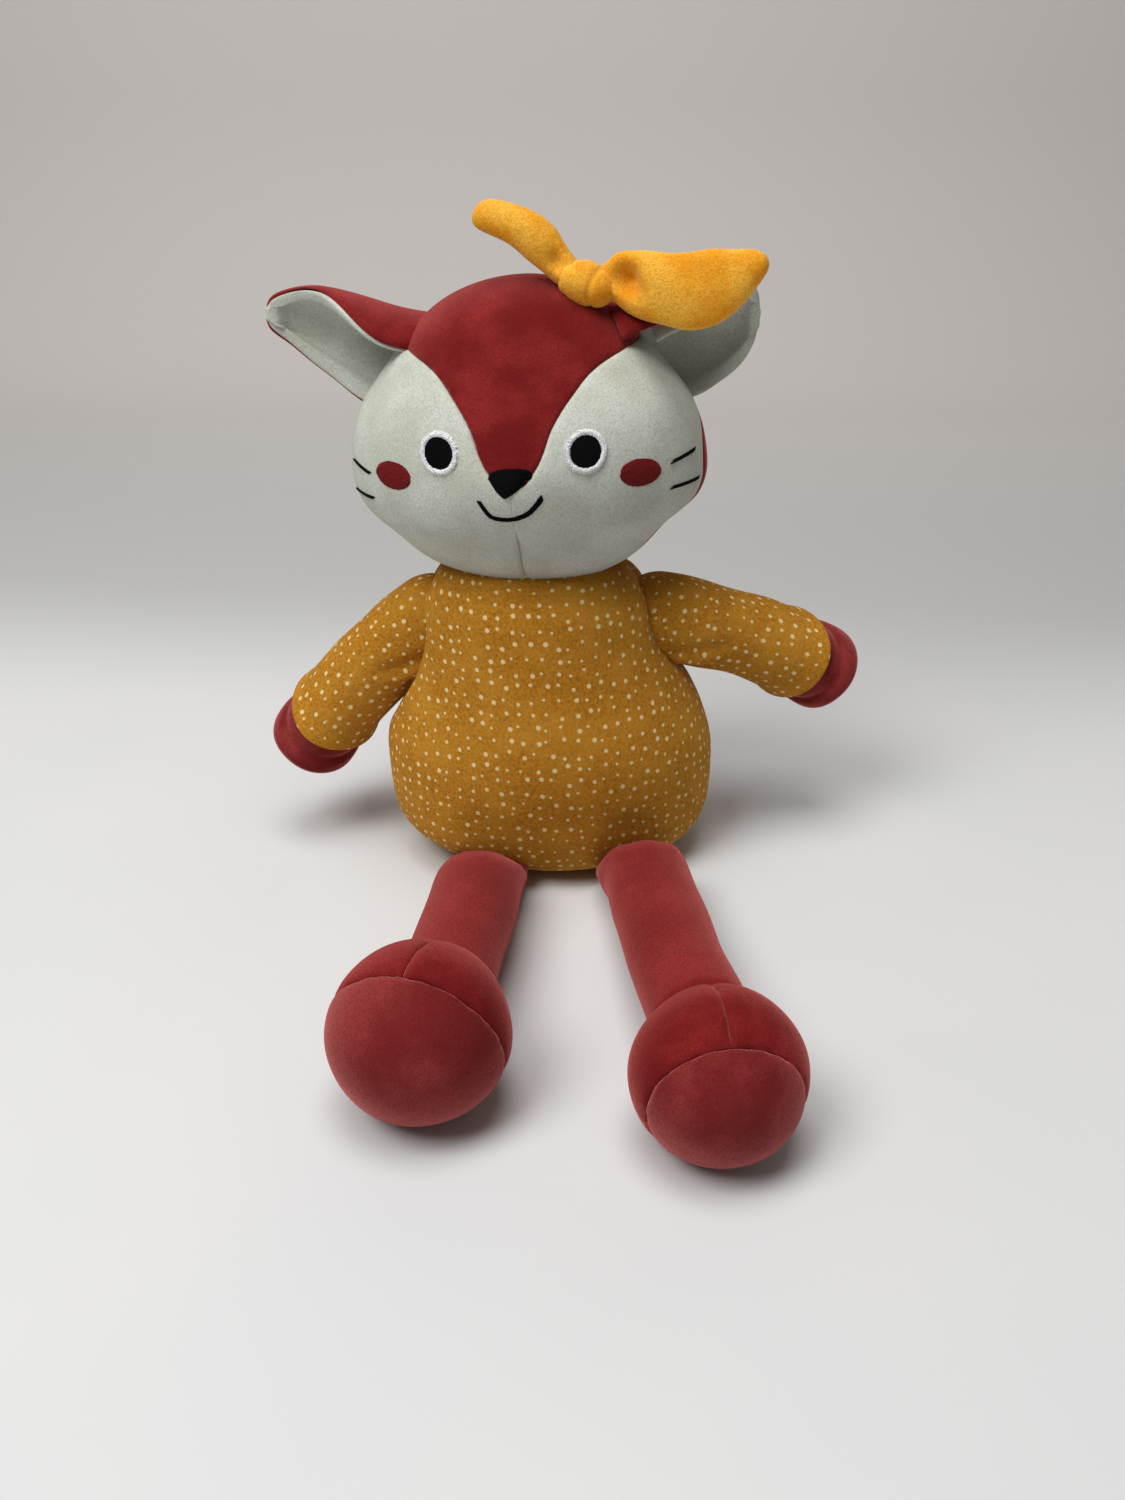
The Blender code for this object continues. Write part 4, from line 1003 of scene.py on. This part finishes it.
def make_bow():
    turn = HEAD.to_3x3().to_4x4()
    for side, name in SIDE_NAMES.items():
        pivot = Vector(JOINTS[f"bow_{name}_flap"]["pos_m"])
        bm = bow_end(side)
        swell(bm, "bow end")
        soft_piece("velvet", f"bow_end_{name}", bm, "bow_velvet", f"bow_{name}",
                   Matrix.Translation(pivot) @ turn)
    low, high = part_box("bow_knot")
    middle = (low + high) / 2

    def place(down, angle):
        level, ring = cos(pi * down), sin(pi * down)
        ring = ring ** 0.75
        across = level - 0.30 * cos(angle)
        fold = 1 - 0.10 * bell(across, 0.42, 0.09) - 0.07 * bell(across, -0.5, 0.08)
        return Vector((KNOT_SIZE.x * level * 0.5, KNOT_SIZE.y * ring * fold * 0.5 * cos(angle),
                       KNOT_SIZE.z * ring * fold * 0.5 * sin(angle)))
    slant = Matrix.Rotation(KNOT_SLANT, 4, "Y")
    bm = skin(44, 48, place)
    swell(bm, "knot")
    soft_piece("velvet", "bow_knot", bm, "bow_velvet", "head",
               Matrix.Translation(middle) @ turn @ slant)


# Arms

def arm_girth(along):
    if along < 0:
        return root(ARM_ROOT ** 2 - along ** 2)
    cuff = ARM_LENGTH * CUFF_PLACE_SHARE
    body = smooth([
        (0, ARM_ROOT), (0.35 * cuff, ARM_RADIUS), (0.7 * cuff, ARM_RADIUS), (cuff, CUFF_RADIUS),
        (ARM_LENGTH, HAND_RADIUS)], along)
    over = max(0.0, along - ARM_LENGTH) / HAND_CAP
    return body * root(1 - over ** 2)


def arm_place(side, girth, first, last, shift=lambda along, angle: 0.0):
    """place() for a stretch of the arm, from the first to the last distance from the shoulder.

    shift(along, angle) moves a point of the stretch further along the arm.
    """
    def place(down, angle):
        base = between(first, last, (1 - cos(pi * down)) / 2)
        along = base + shift(base, angle)
        travelled = max(0.0, along)
        turn = ARM_BEND * travelled / ARM_LENGTH
        aside = ARM_BEND * ARM_LENGTH / 2 * (travelled / ARM_LENGTH) ** 2
        deep = between(ARM_ROOT_DEPTH_SHARE, 1.0, min(1.0, travelled / ARM_ROOT))
        across = Vector((sin(turn), 0, cos(turn)))
        size = girth(base)
        point = (Vector((along, 0, -aside)) - across * size * cos(angle)
                 + Vector((0, size * deep * sin(angle), 0)))
        return Vector((point.x * side, point.y, point.z))
    return place


def make_arm(side):
    name = SIDE_NAMES[side]
    body = f"arm_{name}"
    cuff = ARM_LENGTH * CUFF_PLACE_SHARE
    tip = ARM_LENGTH + HAND_CAP

    def sleeve_girth(along):
        hem = 1.5 * MM * ramp(along, cuff - 9 * MM, cuff - 1 * MM)
        shoulder = -1.4 * MM * (1 - ramp(along, 0, 16 * MM))
        closed = ramp(along, cuff + 0.5 * MM, cuff - 2.5 * MM)
        return (arm_girth(along) + hem + shoulder) * sqrt(closed)

    def hand_girth(along):
        crease = 1.1 * MM * bell(along, cuff + 5 * MM, 1.5 * MM)
        closed = sqrt(ramp(along, cuff - 9 * MM, cuff - 3 * MM))
        inside = 1 - ramp(along, cuff, cuff + 10 * MM)
        return (arm_girth(along) - 1.2 * MM * inside - crease) * closed

    def tilted(along, angle):
        """The cuff reaches further down the front of the hand than behind it."""
        share = ramp(along, 0.4 * cuff, cuff) * (1 - ramp(along, cuff + 3 * MM, tip))
        return (CUFF_OVERHANG - CUFF_TILT * sin(angle)) * share

    sleeve = skin(76, 72, arm_place(side, sleeve_girth, -ARM_ROOT, cuff + 0.5 * MM, tilted))

    def armpit_folds(vert):
        """Folds that run from the armpit round the underside of the sleeve."""
        along = vert.co.x * side
        mask = ramp(along, 3 * MM, 8 * MM) * (1 - ramp(along, 14 * MM, 30 * MM))
        turned_by = degrees(atan2(-vert.co.y, -vert.co.z)) - 26 * along / (20 * MM)
        return mask * sum(height * bell(turned_by, at, 9) for at, height in ARMPIT_FOLDS)
    move_along_normals(sleeve, armpit_folds)
    swell(sleeve, "sleeve", lambda p: ramp(p.x * side, 4 * MM, 14 * MM))
    soft_piece("jumper", f"sleeve_{name}", sleeve, "jumper", body, ARM[side])
    hand = skin(44, 56, arm_place(side, hand_girth, cuff - 9 * MM, tip, tilted))
    swell(hand, "hand", lambda p: ramp(p.x * side, cuff + 6 * MM, tip))
    soft_piece("cover", f"hand_{name}", hand, "sole_plush", body, ARM[side])
    make_filling(f"arm_filling_{name}", arm_place(side, arm_girth, -ARM_ROOT, tip), 0.0, body,
                 ARM[side], rows=20, columns=20)


# Legs

def leg_line(side, along):
    """The middle of the leg and the way across it, so far from the hip."""
    bend = LEG_BEND[side] * side
    share = max(0.0, along) / LEG_REACH[side]
    turn = bend * share ** 3
    middle = Vector((bend * LEG_REACH[side] / 4 * share ** 4, -along, 0))
    return middle, Vector((cos(turn), sin(turn), 0))


def hip_shape(side, along):
    """Shares of the leg's height and width near its flat sewn end, and how low that end lies."""
    run = max(0.0, min(1.0, (along + HIP_FLAT_START[side]) / HIP_FLAT_RUN[side]))
    rounded = sin(pi / 2 * run) ** 0.7
    tall, wide = between(HIP_FLAT_SHARE, 1.0, rounded), between(HIP_WIDE_SHARE, 1.0, rounded)
    if along < 0:
        close = root(1 - (along / LEG_RADIUS) ** 6)
        tall, wide = tall * close, wide * close
    return tall, wide, HIP_DROP * (1 - rounded)


def make_leg(side):
    name = SIDE_NAMES[side]
    body = f"leg_{name}"
    reach = LEG_REACH[side]
    ankle = reach - sqrt(FOOT_RADIUS ** 2 - ANKLE_RADIUS ** 2)
    end = ankle + 8 * MM

    def tube_point(down, angle):
        along = between(-LEG_RADIUS, end, (1 - cos(pi * down)) / 2)
        girth = between(LEG_RADIUS, ANKLE_RADIUS, ramp(along, 0, ankle))
        if along > ankle:
            girth = ANKLE_RADIUS * root(1 - ((along - ankle) / (end - ankle)) ** 2)
        middle, across = leg_line(side, along)
        tall, wide, drop = hip_shape(side, along)
        square = between(0.7, 1.0, ramp(along, 0, 14 * MM))
        aside = wide * girth * copysign(abs(cos(angle)) ** square, cos(angle))
        return middle + across * aside + Vector((0, 0, tall * girth * sin(angle) - drop))

    tube = skin(84, 64, tube_point, BELOW)
    for vert in tube.verts:
        along = -vert.co.y
        mask = ramp(along, -8 * MM, 0.0) * (1 - ramp(along, 6 * MM, 26 * MM))
        gather = sin(vert.co.x / (1.7 * MM) + 1.3 * side)
        vert.co.z += GATHER_HEIGHT * mask * gather * copysign(1, vert.co.z)
    swell(tube, "leg", lambda p: ramp(-p.y, 0, 10 * MM))
    soft_piece("cover", f"leg_{name}", tube, "red_plush", body, LEG[side])

    middle, sideways = leg_line(side, reach)
    forward = Vector((sideways.y, -sideways.x, 0))
    radius = FOOT_SHOWN[side]
    middle = middle - Vector((0, 0, FOOT_RADIUS - radius))

    def foot_point(down, angle):
        swing = pi * (1 - down)
        round_ = sideways * cos(angle) + Vector((0, 0, sin(angle)))
        return middle + forward * radius * cos(swing) + round_ * radius * sin(swing)

    bm = skin(56, 88, foot_point, BELOW)
    sole_way = forward * cos(SOLE_TILT[side]) - Vector((0, 0, sin(SOLE_TILT[side])))

    def to_sole(point):
        return (point - middle).dot(sole_way) - radius * SOLE_PLACE_SHARE[side]

    line = draw_seam(bm, to_sole)
    line |= draw_seam(bm, lambda p: (p - middle).dot(sideways), lambda p: to_sole(p) < ON_SEAM)
    mark_panels(bm, lambda p: 2 if to_sole(p) > 0 else int((p - middle).dot(sideways) * side < 0))
    sink_seams(bm, line, pucker=0.8)
    swell(bm, "foot")
    bmesh.ops.transform(bm, matrix=LEG[side], verts=bm.verts)
    rest_on_floor(bm)
    panels = (("foot_outer", "red_plush"), ("foot_inner", "red_plush"), ("sole", "sole_plush"))
    for number, (part, slot) in enumerate(panels):
        soft_piece("cover", f"{part}_{name}", numbered_panel(bm, number), slot, body, thick=CLOTH)
    bm.free()

    def inner_point(down, angle):
        last = reach + FOOT_RADIUS - FILLING_INSET
        along = between(FILLING_INSET - LEG_RADIUS, last, (1 - cos(pi * down)) / 2)
        girth = between(LEG_RADIUS, ANKLE_RADIUS, ramp(along, 0, ankle)) - FILLING_INSET
        if along > ankle:
            girth = root((FOOT_RADIUS - FILLING_INSET) ** 2 - (along - reach) ** 2)
        at, across = leg_line(side, along)
        tall, wide, drop = hip_shape(side, along - FILLING_INSET)
        return (at + across * cos(angle) * girth * wide
                + Vector((0, 0, sin(angle) * girth * tall * 0.8 - drop)))
    make_filling(f"leg_filling_{name}", inner_point, BELOW, body, LEG[side], inset=0,
                 rows=36, columns=24)


# Stage, light and camera

def make_stage():
    """A pale paper sweep, its wall far enough back for views of the toy from behind."""
    bm = bmesh.new()
    profile = [(PAPER_FRONT, 0), (PAPER_BACK, 0)]
    for step in range(1, 13):
        turn = pi / 2 * step / 12
        rise = 1 - cos(turn)
        profile.append((PAPER_BACK + PAPER_BEND * sin(turn), PAPER_BEND * rise))
    profile.append((PAPER_BACK + PAPER_BEND, PAPER_HEIGHT))
    verts = [bm.verts.new((-PAPER_REACH, y, z)) for y, z in profile]
    edges = [bm.edges.new(pair) for pair in zip(verts, verts[1:])]
    made = bmesh.ops.extrude_edge_only(bm, edges=edges)
    moved = [item for item in made["geom"] if isinstance(item, bmesh.types.BMVert)]
    bmesh.ops.translate(bm, vec=(2 * PAPER_REACH, 0, 0), verts=moved)
    bmesh.ops.recalc_face_normals(bm, faces=bm.faces)
    bm.faces.ensure_lookup_table()
    if bm.faces[0].normal.z < 0:
        bmesh.ops.reverse_faces(bm, faces=bm.faces)
    tree, shader = new_material("paper")
    place = tree.object_place()
    speck = tree.range(tree.noise(place, 6.0), 0.3, 0.7)
    floor_shade = tree.mix(speck, colour(215, 217, 219), colour(219, 220, 221))
    # Painted shade: greyer from behind the toy on, for the dimmer light towards the backdrop, and
    # paler again up the wall
    parts = tree.add("ShaderNodeSeparateXYZ", {0: place}).outputs
    depth = tree.math("ADD", parts["Y"], tree.math("MULTIPLY", parts["X"], 0.1))
    painted_far_shade = tree.mix(tree.range(depth, 0.30, 1.0), colour(190, 191, 190), colour(220, 216, 214))
    shade = tree.mix(tree.range(depth, 0.10, 0.30), floor_shade, painted_far_shade)
    tree.dress(shader, shade, constants={"Roughness": 0.8})
    as_object("paper", bm, "paper", matrix=None, thick=0, levels=0)


def area_light(name, place, aim, size, power, shade):
    light = bpy.data.lights.new(name, "AREA")
    light.shape = "DISK"
    light.size = size
    light.energy = power
    light.color = shade
    made = add_to_scene(name, light)
    made.location = place
    made.rotation_euler = (Vector(aim) - Vector(place)).to_track_quat("-Z", "Y").to_euler()


def make_light():
    world = bpy.data.worlds.new("room")
    bpy.context.scene.world = world
    world.use_nodes = True
    # A weak warm room light; where the paper ends, the camera sees a pale grey
    tree = Tree(world.node_tree)
    seen = tree.add("ShaderNodeLightPath").outputs["Is Camera Ray"]
    backdrop = world.node_tree.nodes["Background"].inputs
    shade = tree.mix(seen, ROOM_LIGHT, colour(196, 196, 195))
    world.node_tree.links.new(shade, backdrop["Color"])
    backdrop["Strength"].default_value = 1.0
    area_light("window", (-0.60, -0.60, 1.20), (0, -0.05, 0.08), 0.7, 11.6, (1.0, 0.99, 0.97))
    area_light("ceiling", (-0.05, -0.25, 1.7), (0, -0.05, 0), 0.9, 14, (1.0, 0.99, 0.98))


def make_camera():
    camera = bpy.data.cameras.new("camera")
    camera.sensor_fit = "VERTICAL"
    camera.sensor_height = 36
    camera.lens = CAMERA_LENS
    camera.clip_start = 0.01
    made = add_to_scene("camera", camera)
    made.location = CAMERA_PLACE
    made.rotation_euler = (pi / 2 - CAMERA_DOWN, 0, 0)
    bpy.context.scene.camera = made


make_torso()
make_neck()
face_surface = make_head()
make_embroidery(face_surface)
make_ears()
make_bow()
for side in SIDE_NAMES:
    make_arm(side)
    make_leg(side)
make_stage()
make_light()
make_camera()
bpy.context.scene.view_settings.view_transform = "Standard"
